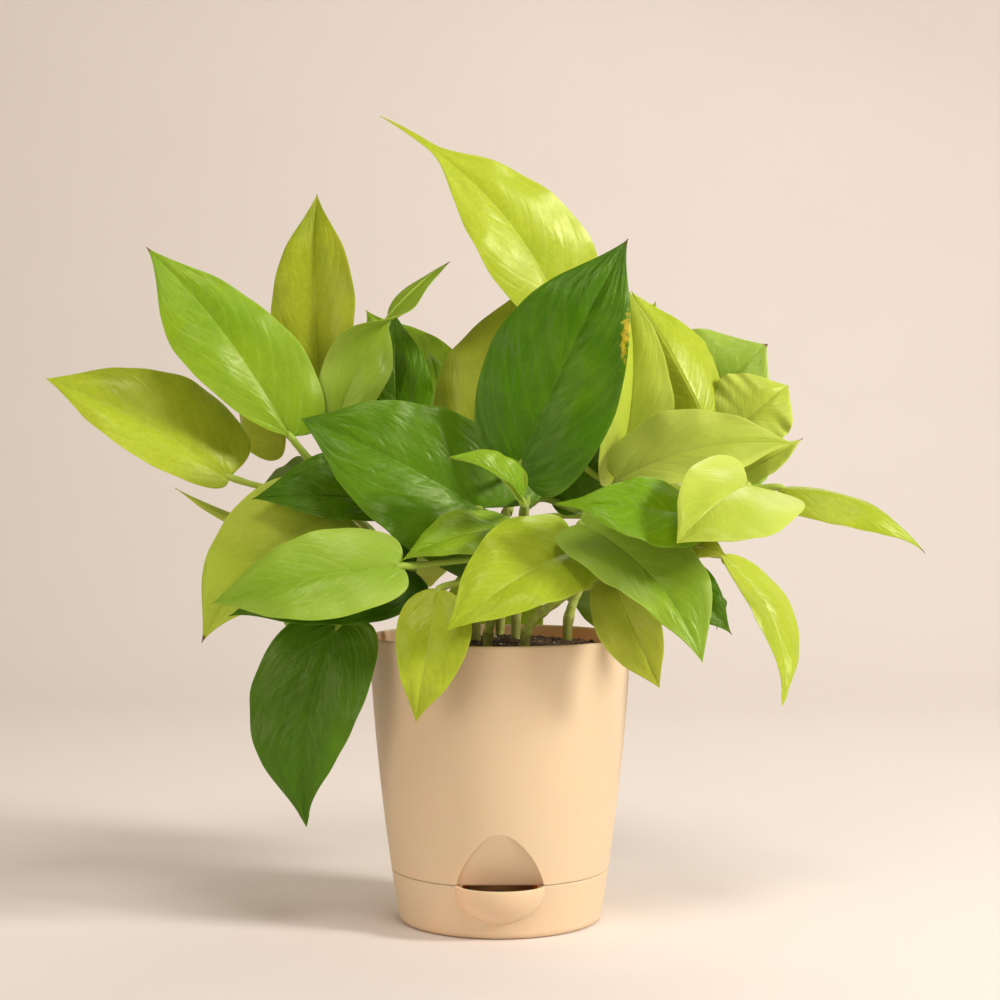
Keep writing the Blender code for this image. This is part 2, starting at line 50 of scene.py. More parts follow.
# Pot and reservoir. The sizes are the solids' own, a few of them trimmed to the photograph.
POT_HEIGHT = 142.0
RIM_RADIUS = 65.6
BASE_RADIUS = 50.2
BELLY = 2.1
WALL = 2.0
LIP_RADIUS = 0.9
BASE_FILLET = 4.0
SEAM_HEIGHT = 26.0
SEAM_GAP = 0.3
SEAM_EDGE = 0.2
FLOOR_RISE = 4.0
SKIRT_DEPTH = 6.0
SKIRT_CLEARANCE = 0.4
FOOT_RADIUS = 17.0
FOOT_COLLAR = 2.0
FOOT_LIFT = 6.0
SLOT_HALF_WIDTH = 2.0
SLOT_FOOT = 10.0
SLOT_HEIGHT = 7.0
SCOOP_HALF_WIDTH = 22.0
SCOOP_REACH = 17.0
SCOOP_DEPTH = 18.5
SCOOP_SETBACK = 47.0
SCOOP_WALL = 1.6
RECESS_HALF_WIDTH = 21.0
RECESS_RISE = 26.0
RECESS_SETBACK = 47.7
NOTCH_HALF_WIDTH = 18.0
NOTCH_REACH = 8.0
POT_SEGMENTS = 144
# How far a cutter goes past the face that it opens
PAST = 1.0

# Soil
SOIL_HEIGHT = 134.0
SOIL_HEAP = 5.0
SOIL_UNEVEN = 1.2
SOIL_SIDES = 120
SOIL_ROWS = 44
SOIL_SKIRT = 12.0
SOIL_ROUGHNESS = 0.5
CRUMBS = 1500
# What a crumb is, as the soil's material reads it
GRAIN, BARK, WHITE_GRAIN = 0.0, 0.55, 1.0

# Stems and stalks
STEM_RADIUS = 2.4
STEM_TIP_RADIUS = 1.7
STEM_START = SOIL_HEIGHT + SOIL_HEAP + SOIL_UNEVEN + 2
STEM_POINTS = 60
STEM_SIDES = 16
STEM_JOINTS = (0.08, 0.3)
JOINT_LENGTH = 0.03
JOINT_SWELL = 0.22
STEM_ROUGHNESS = 0.06
PETIOLE_RADIUS = 1.6
PETIOLE_FOOT_RADIUS = 1.75
PETIOLE_ANGLE = 38.0
STALK_GAP = 0.3
STALK_POINTS = 22
STALK_SIDES = 12
STALK_SWELL = 0.9
STALK_FLARE = 0.5
STALK_NECK = 0.3
RIB_RADIUS = 1.15
RIB_PARTS = (0.03, 0.08, 0.16, 0.26, 0.38, 0.5, 0.62, 0.74, 0.85, 0.93)

# Blades
LEAF_THICKNESS = 0.5
WIDEST_AT = 0.34
SHOULDER = 1.7
TAPER_GAIN = 1.08
TIP_START = 0.74
TIP_LENGTH = 0.26
TIP_PINCH = 0.42
TAIL_HALF_WIDTH = 2.1
LEAST_HALF_WIDTH = 0.25
HOLLOW_DEPTH = 1.1
PUFF_HEIGHT = 0.27
GROOVE_DEPTH = 0.5
GROOVE_WIDTH = 1.5
# The lateral veins: their lean to the tip, their bend near the margin, and how many pairs a leaf has
VEIN_LEAN = 0.32
VEIN_BEND = 0.12
VEIN_BEND_POWER = 2.2
VEIN_PAIRS = 9
SEED_SHIFT = 0.7
# The grid of a blade, across from margin to margin and along from base to tip
ACROSS = np.array((-1, -0.965, -0.9, -0.8, -0.68, -0.54, -0.4, -0.26, -0.14, -0.05, 0,
                   0.05, 0.14, 0.26, 0.4, 0.54, 0.68, 0.8, 0.9, 0.965, 1.0))
ALONG = np.concatenate(((0, 0.003, 0.009, 0.018, 0.03, 0.045, 0.062), np.linspace(0.08, 0.92, 46),
                        np.linspace(0.92, 1, 10)[1:]))
# How far the yellowed patch reaches, along and across
SCAR_REACH = (0.16, 0.17)

# Stage and camera
STAGE_HALF_WIDTH = 3.0
STAGE_FRONT = -2.2
STAGE_BACK = 1.5
STAGE_HEIGHT = 2.6
STAGE_BEND = 0.6
CAMERA_PLACE = (0, -1.033, 0.232)
CAMERA_TILT = 1.25
CAMERA_LENS = 74.4
CAMERA_SENSOR = 36
CAMERA_CLIP = 0.01
WORLD_COLOUR = (1.0, 0.88, 0.73, 1)
WORLD_STRENGTH = 0.27


class Light(NamedTuple):
    """An area light: a disk of this size and power."""

    name: str
    place: tuple
    aim: tuple
    size: float
    power: float
    colour: tuple


LIGHTS = (
    Light("key", (1.58, -0.66, 0.98), (0, 0, 0.2), 0.42, 31, (1.0, 0.96, 0.91)),
    Light("front", (0.30, -1.1, 1.85), (0, 0, 0.2), 0.70, 14, (1.0, 0.96, 0.92)),
    Light("fill", (-1.4, -1.6, 0.65), (0, 0, 0.2), 1.4, 13, (1.0, 0.92, 0.82)),
    Light("rim", (0.4, 0.9, 1.3), (0, 0, 0.25), 0.8, 5, (1.0, 0.97, 0.92)),
)


class Stem(NamedTuple):
    name: str
    root: tuple
    top: tuple


class Side(NamedTuple):
    """One half of a blade: its width as a part of half the leaf's, where it's widest, and how blunt
    its base is."""

    width: float = 1.0
    widest: float = 0.34
    base: float = 0.42


class Leaf(NamedTuple):
    """A leaf as in the solids, and what only the eye needs.

    at: how far up the stem the stalk starts. face: where the upper side looks
    left, right: the halves, seen from the face with the tip away
    arch, sweep: how far the midrib bows to the upper side, and to the right
    fold: degrees that each half is raised. curl: how far the margins turn down. twist: degrees
    taper: how drawn out the tip is. lobe: how far the lobes reach behind the stalk
    tail: the part of the length that is a thin tip. bend: how far it turns right, as a part of the length
    hook: the same, away from the face. ripple, waves: the margin's waves
    burn: how brown the tip is. shade: how old (above 0) or fresh (below 0) the colour is;
    below 0 it is partly painted light, which lifts leaves that lie in shade toward a paler green
    scar: where a yellowed patch lies, along and across
    """

    name: str
    stem: str
    at: float
    base: tuple
    tip: tuple
    width: float
    face: tuple
    tone: str
    left: Side = Side()
    right: Side = Side()
    arch: float = 6.0
    sweep: float = 0.0
    fold: float = 10.0
    curl: float = 0.15
    twist: float = 0.0
    taper: float = 1.05
    lobe: float = 0.7
    tail: float = 0.0
    bend: float = 0.0
    hook: float = 0.04
    ripple: float = 0.05
    waves: float = 2.2
    burn: float = 0.0
    shade: float = 0.0
    scar: tuple = ()


STEMS = (
    Stem("stem_left_front", (-30, -14), (-58, -20, 186)),
    Stem("stem_left_back", (-34, 12), (-84, 14, 214)),
    Stem("stem_center_left", (-12, -4), (-26, -2, 226)),
    Stem("stem_center", (8, 8), (20, 16, 262)),
    Stem("stem_front", (-6, -30), (12, -34, 176)),
    Stem("stem_right_front", (12, -38), (66, -30, 184)),
    Stem("stem_right_back", (34, 8), (88, 8, 222)),
    Stem("stem_back", (0, 36), (4, 44, 214)),
)

# A negative colour age makes a leaf paler and fresher; on many leaves it is painted light that lifts a leaf
# lying in shade.
LEAVES = (
    # Left
    Leaf("leaf_far_left", "stem_left_back", 0.95, (-134, -8, 221), (-221, -22, 271), 54,
         (0.3, -0.85, 0.45), "lime", Side(0.7, 0.45), Side(1.26, 0.36, 0.3), taper=0.85, ripple=0.03,
         lobe=0.3),
    Leaf("leaf_upper_left", "stem_left_back", 1.0, (-103, -14, 241), (-171, -26, 334), 60,
         (0.2, -0.9, 0.3), "mid", Side(0.88, 0.55, 1.0), Side(0.95, 0.28, 0.35), sweep=2.5, burn=0.5,
         shade=-0.15, lobe=0.5),
    Leaf("leaf_left_tall", "stem_left_back", 0.9, (-90, 10, 254), (-94, 18, 365), 48,
         (-0.2, -0.95, 0.25), "olive", Side(0.97, 0.46, 0.7), Side(0.97, 0.5, 0.9), fold=20, taper=0.95),
    Leaf("leaf_left_twisted", "stem_center_left", 0.9, (-80, -4, 252), (-25, 0, 329), 44,
         (0.3, -0.8, 0.5), "mid", Side(0.78, 0.3), Side(0.74, 0.3), sweep=-7, twist=124, burn=0.5, taper=0.8,
         shade=-0.45),
    Leaf("leaf_left_spear", "stem_left_back", 0.7, (-117, 14, 193), (-163, 6, 216), 9,
         (0.3, -0.9, 0.3), "lime", Side(0.7), Side(0.7), arch=2, sweep=-3, fold=-20, lobe=0.1, shade=-1.0),
    Leaf("leaf_left_wide", "stem_left_back", 0.6, (-78, -18, 203), (-144, -42, 143), 62,
         (-0.2, -0.95, 0.3), "lime", Side(0.85, 0.35), Side(1.02, 0.32, 0.32), sweep=8, burn=0.6,
         shade=-0.35),
    Leaf("leaf_left_dark", "stem_center_left", 0.75, (-50, -20, 208), (-120, -32, 212), 46,
         (0.1, -0.85, 0.5), "dark", Side(0.62, 0.4), Side(1.05, 0.42)),
    Leaf("leaf_left_pale", "stem_front", 0.75, (-46, -64, 180), (-133, -80, 165), 46,
         (-0.1, -0.9, 0.4), "mid", Side(0.98, 0.44, 0.36), Side(1.0, 0.36, 0.36), taper=0.9, lobe=0.35,
         shade=-0.42, ripple=0.03),
    Leaf("leaf_left_under", "stem_left_front", 0.8, (-42, -34, 176), (-129, -52, 157), 50,
         (0, -0.85, 0.5), "dark"),
    Leaf("leaf_left_hanging", "stem_left_front", 0.5, (-78, -42, 150), (-97, -46, 54), 62,
         (-0.2, -0.95, 0.15), "dark", Side(0.84, 0.28, 0.36), Side(1.03, 0.42, 0.6), sweep=3.5,
         hook=0.05, tail=0.03, bend=-0.03, shade=-0.15, taper=0.95),
    # Middle
    Leaf("leaf_back_dark", "stem_center_left", 0.95, (-52, 16, 235), (-54, 22, 305), 40,
         (0, -0.95, 0.3), "dark", Side(0.92, 0.38), Side(0.97, 0.38), taper=0.9),
    Leaf("leaf_back_small", "stem_back", 0.9, (-31, 44, 245), (-37, 56, 287), 24,
         (0.2, -0.9, 0.3), "mid"),
    Leaf("leaf_center_olive", "stem_center_left", 1.0, (-15, 24, 240), (10, 34, 318), 52,
         (-0.2, -0.9, 0.4), "olive", Side(0.98, 0.3, 0.3), Side(1.0, 0.3), shade=-0.4),
    Leaf("leaf_top", "stem_center", 1.0, (28, 10, 312), (-57, -14, 400), 62,
         (0.3, -0.9, 0.3), "lime", Side(0.88, 0.34, 0.5), Side(1.08, 0.24, 0.36), tail=0.2, sweep=7,
         taper=1.15),
    Leaf("leaf_center_large", "stem_center", 0.6, (9, -46, 227), (61, -38, 337), 76,
         (-0.1, -0.95, 0.3), "dark", Side(0.99, 0.40, 0.72), Side(0.88, 0.30, 0.50), taper=1.0, lobe=1.0,
         burn=0.3, ripple=0.03, scar=(0.64, 0.92)),
    Leaf("leaf_center_behind", "stem_center", 0.5, (45, 23, 205), (50, 29, 262), 46,
         (-0.1, -0.95, 0.3), "dark"),
    Leaf("leaf_center_left", "stem_center_left", 0.7, (-10, -28, 206), (-93, -52, 250), 75,
         (0.1, -0.95, 0.35), "dark", Side(1.0, 0.26, 0.34), Side(0.98, 0.28, 0.34), taper=0.8, lobe=1.7,
         shade=-0.1),
    Leaf("leaf_center_curl", "stem_center", 0.45, (10, -62, 211), (-24, -80, 232), 28,
         (0.2, -0.6, 0.8), "mid", Side(0.6, 0.3), Side(1.0, 0.2), fold=30, burn=0.7, lobe=0.3, shade=-0.1),
    # Front
    Leaf("leaf_front_glossy", "stem_front", 1.0, (6, -44, 196), (-46, -66, 184), 32,
         (-0.1, -0.75, 0.6), "mid", Side(0.85, 0.4), Side(0.95, 0.42), shade=-0.15),
    Leaf("leaf_front_lime", "stem_right_front", 0.4, (36, -56, 188), (-24, -100, 154), 62,
         (0.1, -0.8, 0.55), "lime", Side(0.7, 0.25, 0.34), Side(0.92, 0.3, 0.34), taper=0.9, shade=-0.05),
    Leaf("leaf_front_rim", "stem_front", 0.45, (-29, -66, 169), (-39, -80, 109), 38,
         (0, -0.95, 0.3), "lime", Side(1.03, 0.34, 0.6), Side(0.84, 0.32, 0.6), taper=0.85, lobe=0.2,
         shade=0.1),
    Leaf("leaf_front_right", "stem_right_front", 0.7, (38, -62, 200), (93, -92, 139), 66,
         (0.1, -0.85, 0.55), "mid", Side(0.8, 0.46, 0.5), Side(0.62, 0.2, 0.36), sweep=-6, taper=0.85,
         shade=-0.4, ripple=0.07),
    Leaf("leaf_front_olive", "stem_right_front", 0.6, (54, -52, 172), (74, -72, 124), 36,
         (-0.2, -0.9, 0.3), "olive", Side(0.8, 0.4), Side(0.95, 0.4), taper=0.8, shade=-0.6),
    Leaf("leaf_right_curl", "stem_right_front", 0.85, (88, -70, 204), (26, -86, 211), 40,
         (0, -0.8, 0.6), "mid", Side(1.05, 0.36, 0.36), Side(0.9, 0.3, 0.36), sweep=-2.5, tail=0.08,
         curl=0.2),
    # Right
    Leaf("leaf_right_large", "stem_right_back", 0.6, (58, -12, 220), (142, -34, 239), 62,
         (0.05, -0.85, 0.5), "lime", Side(0.8, 0.34, 0.5), Side(0.6, 0.55, 0.8), sweep=-4, ripple=0.05,
         fold=4, curl=0.08, shade=-0.95),
    Leaf("leaf_right_heart", "stem_right_front", 1.0, (116, -68, 218), (80, -106, 194), 60,
         (0.1, -0.75, 0.6), "lime", Side(1.0, 0.36, 0.3), Side(0.74, 0.3, 0.3), shade=-0.6, lobe=1.5,
         taper=0.8, fold=6, curl=0.05, ripple=0.015),
    Leaf("leaf_right_long", "stem_right_back", 0.9, (140, -4, 216), (211, -14, 186), 33,
         (0.2, -0.5, 0.85), "lime", arch=10, fold=-25, burn=0.5, shade=0.2, ripple=0.02),
    Leaf("leaf_right_hanging", "stem_right_front", 0.95, (108, -26, 183), (138, -44, 113), 44,
         (0.8, -0.55, 0.3), "lime", Side(1.05, 0.45, 0.8), Side(0.8, 0.45, 0.8), lobe=0.1, sweep=-11,
         tail=0.03, taper=1.2, shade=-0.1, ripple=0.02),
    Leaf("leaf_right_dark", "stem_right_front", 0.8, (80, -46, 176), (109, -62, 149), 26,
         (0, -0.9, 0.3), "dark", burn=0.7, hook=0.1),
    Leaf("leaf_right_small", "stem_right_front", 0.9, (84, -42, 188), (108, -52, 184), 20,
         (0, -0.8, 0.6), "olive"),
    Leaf("leaf_right_narrow", "stem_center", 0.75, (58, 10, 219), (64, 14, 321), 46,
         (0.4, -0.85, 0.1), "lime", fold=34, sweep=4, shade=-0.5),
    Leaf("leaf_right_folded", "stem_right_back", 1.0, (104, 24, 252), (68, 32, 317), 54,
         (-0.1, -0.85, 0.5), "lime", fold=-28, curl=0.1, ripple=0.02),
    Leaf("leaf_right_wavy", "stem_right_back", 0.95, (115, 32, 238), (148, 30, 268), 50,
         (0.1, -0.9, 0.4), "lime", Side(1.0, 0.5, 0.5), Side(0.8, 0.6, 0.5), taper=0.85, ripple=0.06,
         waves=3.1, shade=-0.7),
    Leaf("leaf_right_top", "stem_right_back", 0.85, (99, 44, 249), (139, 42, 290), 60,
         (0.1, -0.9, 0.4), "mid", Side(1.2, 0.5, 0.4), Side(0.8, 0.5), burn=0.4, shade=-0.85),
    Leaf("leaf_right_tip", "stem_right_back", 0.7, (122, 14, 222), (152, 8, 241), 20,
         (0.1, -0.7, 0.7), "lime", sweep=5, burn=0.6, shade=-0.6),
    # Back
    Leaf("leaf_back_high", "stem_back", 1.0, (-40, 62, 250), (-72, 98, 310), 64,
         (-0.2, 0.8, 0.5), "mid"),
    Leaf("leaf_back_tall", "stem_back", 0.95, (58, 56, 250), (84, 92, 314), 62,
         (0.2, 0.8, 0.5), "olive"),
    Leaf("leaf_back_middle", "stem_back", 0.8, (12, 74, 214), (18, 138, 206), 68,
         (0, 0.6, 0.8), "lime"),
    Leaf("leaf_back_left", "stem_back", 0.7, (-66, 52, 208), (-132, 84, 214), 62,
         (-0.4, 0.6, 0.7), "dark"),
    Leaf("leaf_back_right", "stem_back", 0.65, (70, 56, 200), (134, 92, 190), 62,
         (0.4, 0.6, 0.7), "mid"),
    Leaf("leaf_back_low_left", "stem_back", 0.5, (-44, 74, 176), (-84, 116, 132), 56,
         (-0.4, 0.7, 0.6), "lime"),
    Leaf("leaf_back_low_right", "stem_back", 0.4, (44, 76, 172), (70, 116, 122), 58,
         (0.4, 0.7, 0.6), "dark"),
    Leaf("leaf_back_hanging", "stem_back", 0.3, (-2, 84, 164), (-8, 108, 88), 56,
         (0, 0.95, 0.2), "mid"),
    Leaf("leaf_back_top", "stem_center", 0.95, (24, 50, 284), (34, 98, 336), 54,
         (0.3, 0.7, 0.7), "lime"),
    Leaf("leaf_back_crown", "stem_center_left", 0.85, (-44, 36, 222), (-84, 50, 256), 38,
         (-0.2, 0.3, 0.9), "olive"),
    # Sides
    Leaf("leaf_side_right", "stem_right_back", 0.9, (112, 58, 226), (140, 96, 250), 50,
         (0.75, 0.1, 0.65), "mid"),
    Leaf("leaf_side_right_low", "stem_right_back", 0.5, (88, 40, 186), (118, 70, 140), 50,
         (0.9, 0.2, 0.4), "dark"),
    Leaf("leaf_side_left", "stem_left_back", 0.85, (-112, 48, 244), (-134, 82, 276), 48,
         (-0.75, 0.2, 0.6), "olive"),
    Leaf("leaf_side_left_low", "stem_left_back", 0.45, (-88, 46, 180), (-112, 76, 134), 52,
         (-0.9, 0.2, 0.4), "mid"),
)

# Tones: main colour, the colour of its variations, vein colour, underside colour
TONES = {
    "lime": ((0.38, 0.46, 0.025), (0.31, 0.41, 0.014), (0.48, 0.57, 0.09), (0.39, 0.46, 0.03)),
    "olive": ((0.34, 0.39, 0.018), (0.27, 0.34, 0.010), (0.44, 0.49, 0.06), (0.37, 0.42, 0.03)),
    "mid": ((0.140, 0.28, 0.002), (0.21, 0.345, 0.004), (0.36, 0.49, 0.07), (0.24, 0.36, 0.02)),
    "dark": ((0.046, 0.140, 0.0), (0.078, 0.185, 0.001), (0.15, 0.27, 0.02), (0.13, 0.22, 0.01)),
}
# How far the colour darkens in the pucker hollows and lightens on their crests: painted shade and light that
# follow the relief
PUCKER_PAINTED_SHADE = {"lime": 0.015, "olive": 0.02, "mid": 0.03, "dark": 0.10}
PUCKER_HEIGHT = {"lime": 0.3, "olive": 0.45, "mid": 0.5, "dark": 1.3}
MIDRIB_SHOWS = {"lime": 0.4, "olive": 0.4, "mid": 0.25, "dark": 0.12}
AGED = (0.42, 0.46, 0.04)
STALK_GREEN = (0.30, 0.42, 0.05)
SCAR_COLOURS = ((0.52, 0.45, 0.02), (0.36, 0.24, 0.02))
SCORCHED = (0.10, 0.045, 0.02)
FRECKLE = (0.22, 0.14, 0.03)
STEM_COLOURS = ((0.34, 0.42, 0.05), (0.52, 0.58, 0.12))
JOINT_BROWN = (0.30, 0.24, 0.08)
STEM_FOOT_BROWN = (0.20, 0.14, 0.05)
SOIL_COLOURS = ((0.030, 0.017, 0.009), (0.115, 0.062, 0.032))
DRY_SOIL = (0.17, 0.09, 0.045)
BARK_COLOURS = ((0.17, 0.10, 0.05), (0.30, 0.19, 0.10))
WHITE_GRAIN_COLOUR = (0.72, 0.69, 0.62)
POT_COLOURS = ((0.78, 0.55, 0.36), (0.80, 0.57, 0.38))
POT_MOTTLE = (0.77, 0.54, 0.34)
FLOOR_COLOURS = ((0.77, 0.705, 0.66), (0.80, 0.735, 0.69))


# ---------------------------------------------------------------- material helpers

class Nodes:
    """A short way to write a material's nodes."""

    def __init__(self, name):
        self.material = bpy.data.materials.new(name)
        self.material.use_nodes = True
        self.tree = self.material.node_tree
        self.shader = self.tree.nodes["Principled BSDF"]

    def feed(self, socket, value):
        if isinstance(value, bpy.types.NodeSocket):
            self.tree.links.new(value, socket)
        elif isinstance(value, tuple) and len(value) == 3 and socket.type == "RGBA":
            socket.default_value = (*value, 1)
        else:
            socket.default_value = value

    def node(self, kind, inputs=None, **settings):
        made = self.tree.nodes.new(kind)
        for key, value in settings.items():
            setattr(made, key, value)
        for key, value in (inputs or {}).items():
            self.feed(made.inputs[key], value)
        return made

    def attribute(self, name):
        return self.node("ShaderNodeAttribute", attribute_name=name).outputs["Fac"]

    def math(self, operation, *values):
        made = self.node("ShaderNodeMath", operation=operation)
        for index, value in enumerate(values):
            self.feed(made.inputs[index], value)
        return made.outputs[0]

    def mix(self, factor, a, b, blend="MIX"):
        made = self.node("ShaderNodeMix", data_type="RGBA", blend_type=blend)
        self.feed(made.inputs[0], factor)
        self.feed(made.inputs[6], a)
        self.feed(made.inputs[7], b)
        return made.outputs[2]

    def noise(self, scale, detail=3.0, rough=0.5, vector=None, distortion=0.0):
        made = self.node("ShaderNodeTexNoise", {"Scale": scale, "Detail": detail, "Roughness": rough,
                                                "Distortion": distortion})
        if vector is None:
            vector = self.node("ShaderNodeTexCoord").outputs["Object"]
        self.feed(made.inputs["Vector"], vector)
        return made.outputs["Fac"]

    def steps(self, value, low, high, out_low=0.0, out_high=1.0):
        made = self.node("ShaderNodeMapRange", interpolation_type="SMOOTHSTEP")
        for index, item in enumerate((value, low, high, out_low, out_high)):
            self.feed(made.inputs[index], item)
        return made.outputs[0]

    def bump(self, height, strength, distance, normal=None):
        made = self.node("ShaderNodeBump", {"Height": height, "Strength": strength, "Distance": distance})
        if normal is not None:
            self.feed(made.inputs["Normal"], normal)
        return made.outputs[0]

    def surface(self, **values):
        for key, value in values.items():
            self.feed(self.shader.inputs[key.replace("_", " ")], value)
        return self.material


LEAF_ATTRIBUTES = ("across", "along", "below", "stalk", "seed", "shade", "burn", "scar")


def vein_place(n, at, out):
    """Where along the midrib the lateral vein through each point starts."""
    bend = n.math("MULTIPLY_ADD", n.math("POWER", out, VEIN_BEND_POWER), VEIN_BEND,
                  n.math("MULTIPLY", out, VEIN_LEAN))
    place = n.math("SUBTRACT", at["along"], bend)
    wobble = n.math("MULTIPLY", n.math("SUBTRACT", n.noise(60.0, 2.0), 0.5), 0.015)
    return n.math("ADD", n.math("ADD", place, wobble), n.math("MULTIPLY", at["seed"], SEED_SHIFT))


def leaf_scorch(n, at):
    """The brown tip, on leaves whose burn is above 0."""
    uneven = n.math("MULTIPLY", n.math("SUBTRACT", n.noise(160.0), 0.5), 0.10)
    reach = n.math("ADD", n.math("ADD", at["along"], uneven), n.math("MULTIPLY", at["burn"], 0.05))
    return n.math("MULTIPLY", n.steps(reach, 0.985, 1.015), n.steps(at["burn"], 0.05, 0.3))


def leaf_blade_colour(n, tone, at, out, pucker):
    """The blade's mottled green, older or fresher, with painted shade in the pucker hollows and painted
    light that lifts leaves lying in shade.
    """
    main, other, vein, _ = TONES[tone]
    uneven = n.math("MULTIPLY", n.math("SUBTRACT", at["seed"], 0.5), 0.35)
    patch = n.steps(n.math("ADD", n.noise(26.0, 3.0, 0.55), uneven), 0.38, 0.66)
    colour = n.mix(patch, main, other)
    # Painted shade in the pucker hollows and painted light on their crests, times the blade's own fine
    # speckle
    pucker_painted_shade = n.math("MULTIPLY_ADD", pucker, 2 * PUCKER_PAINTED_SHADE[tone], 1 - PUCKER_PAINTED_SHADE[tone])
    speckle_and_pucker_shade = n.math("MULTIPLY", n.steps(n.noise(420.0, 4.0, 0.6), 0.35, 0.75, 0.94, 1.06), pucker_painted_shade)
    speckle_and_shade_grey = n.node("ShaderNodeCombineColor", {0: speckle_and_pucker_shade, 1: speckle_and_pucker_shade, 2: speckle_and_pucker_shade}).outputs[0]
    colour = n.mix(1.0, colour, speckle_and_shade_grey, "MULTIPLY")
    colour = n.mix(n.math("MAXIMUM", at["shade"], 0.0), colour, AGED)
    # Below 0 the colour pales toward the vein colour, most at the base and the margins: partly the leaf's
    # fresh colour, partly painted light that lifts leaves lying in shade.
    fresh_and_painted_light = n.math("MULTIPLY", n.math("MULTIPLY", at["shade"], -1.0),
                   n.steps(at["along"], 0.15, 0.75, 1.25, 0.75))
    fresh_and_painted_light = n.math("MULTIPLY", fresh_and_painted_light, n.steps(out, 0.25, 1.0, 0.75, 1.3))
    return n.mix(n.math("MINIMUM", n.math("MAXIMUM", fresh_and_painted_light, 0.0), 1.0), colour, vein)


def leaf_material(tone):
    _, _, vein, under = TONES[tone]
    n = Nodes("leaf_" + tone)
    at = {name: n.attribute(name) for name in LEAF_ATTRIBUTES}
    out = n.math("ABSOLUTE", at["across"])
    place = vein_place(n, at, out)
    beat = n.math("PINGPONG", n.math("MULTIPLY", place, VEIN_PAIRS), 0.5)
    lateral = n.math("MULTIPLY", n.steps(beat, 0.0, 0.22, 1.0, 0.0), n.steps(out, 0.75, 1.0, 1.0, 0.0))
    midline = n.steps(out, 0.0, 0.035, 1.0, 0.0)
    margin = n.steps(out, 0.93, 1.0)
    # Puckers lie along the lateral veins. They raise the bumps, and the colour carries painted shade in
    # their hollows.
    spread = n.node("ShaderNodeCombineXYZ", {0: n.math("MULTIPLY", place, 10.5),
                                             1: n.math("MULTIPLY", at["across"], 5.0),
                                             2: n.math("MULTIPLY", at["seed"], 9.0)}).outputs[0]
    pucker = n.steps(n.noise(1.0, 2.0, 0.45, spread), 0.25, 0.75)
    scorch = leaf_scorch(n, at)
    scar = n.steps(n.math("MULTIPLY_ADD", at["scar"], 0.5, n.noise(330.0, 5.0, 0.7)), 0.80, 0.98)
    freckle = n.math("MULTIPLY", n.steps(n.noise(230.0, 0.0), 0.81, 0.85), n.steps(at["burn"], 0.0, 1.2))

    colour = leaf_blade_colour(n, tone, at, out, pucker)
    colour = n.mix(n.math("MULTIPLY", lateral, 0.10), colour, vein)
    colour = n.mix(n.math("MULTIPLY", midline, MIDRIB_SHOWS[tone]), colour, vein)
    colour = n.mix(n.math("MULTIPLY", margin, 0.2), colour, vein)
    colour = n.mix(n.math("MULTIPLY", at["below"], 0.75), colour, under)
    colour = n.mix(at["stalk"], colour, n.mix(n.noise(90.0), vein, STALK_GREEN))
    colour = n.mix(scar, colour, n.mix(n.noise(300.0), *SCAR_COLOURS))
    colour = n.mix(scorch, colour, SCORCHED)
    colour = n.mix(freckle, colour, FRECKLE)

    height = n.math("ADD", n.math("MULTIPLY", lateral, -0.2), n.math("MULTIPLY", midline, -0.6))
    height = n.math("ADD", height, n.math("MULTIPLY", n.noise(170.0, 2.0, 0.5, distortion=0.4), 0.5))
    height = n.math("ADD", height, n.math("MULTIPLY", pucker, PUCKER_HEIGHT[tone]))
    normal = n.bump(height, 0.55, 0.00055)
    normal = n.bump(n.noise(2600.0, 2.0), 0.25, 0.00006, normal)
    rough = n.steps(n.noise(70.0, 2.0), 0.3, 0.7, 0.31, 0.43)
    rough = n.math("ADD", rough, n.math("MULTIPLY", at["below"], 0.16))
    rough = n.math("ADD", rough, n.math("MULTIPLY", scorch, 0.3))
    return n.surface(Base_Color=colour, Roughness=rough, Normal=normal, IOR=1.42,
                     Specular_IOR_Level=0.37, Specular_Tint=(1.0, 1.0, 0.62, 1.0),
                     Subsurface_Weight=0.28, Subsurface_Radius=(0.9, 1.0, 0.25), Subsurface_Scale=0.0012)


def stem_material():
    n = Nodes("stem_green")
    streak = n.noise(240.0, 4.0, 0.6)
    colour = n.mix(n.steps(streak, 0.35, 0.7), *STEM_COLOURS)
    bark = n.math("MULTIPLY", n.attribute("joint"), n.steps(n.noise(500.0), 0.45, 0.7))
    colour = n.mix(bark, colour, JOINT_BROWN)
    colour = n.mix(n.steps(n.attribute("along"), 0.12, 0.0, 0.0, 0.45), colour, STEM_FOOT_BROWN)
    normal = n.bump(n.math("ADD", streak, n.math("MULTIPLY", n.noise(1500.0), 0.4)), 0.5, 0.0004)
    return n.surface(Base_Color=colour, Roughness=n.steps(streak, 0.2, 0.8, 0.42, 0.6), Normal=normal,
                     Subsurface_Weight=0.12, Subsurface_Radius=(0.9, 1.0, 0.3), Subsurface_Scale=0.001)


def soil_material():
    n = Nodes("potting_mix")
    kind = n.attribute("kind")
    grain = n.noise(380.0, 6.0, 0.7)
    colour = n.mix(n.steps(grain, 0.3, 0.75), *SOIL_COLOURS)
    colour = n.mix(n.math("MULTIPLY", n.attribute("tone"), 0.6), colour, DRY_SOIL)
    colour = n.mix(n.steps(kind, 0.3, 0.5), colour, n.mix(n.noise(900.0), *BARK_COLOURS))
    colour = n.mix(n.steps(kind, 0.8, 1.0), colour, WHITE_GRAIN_COLOUR)
    normal = n.bump(n.math("ADD", grain, n.noise(1800.0, 3.0)), 0.9, 0.0009)
    return n.surface(Base_Color=colour, Roughness=0.93, Normal=normal)


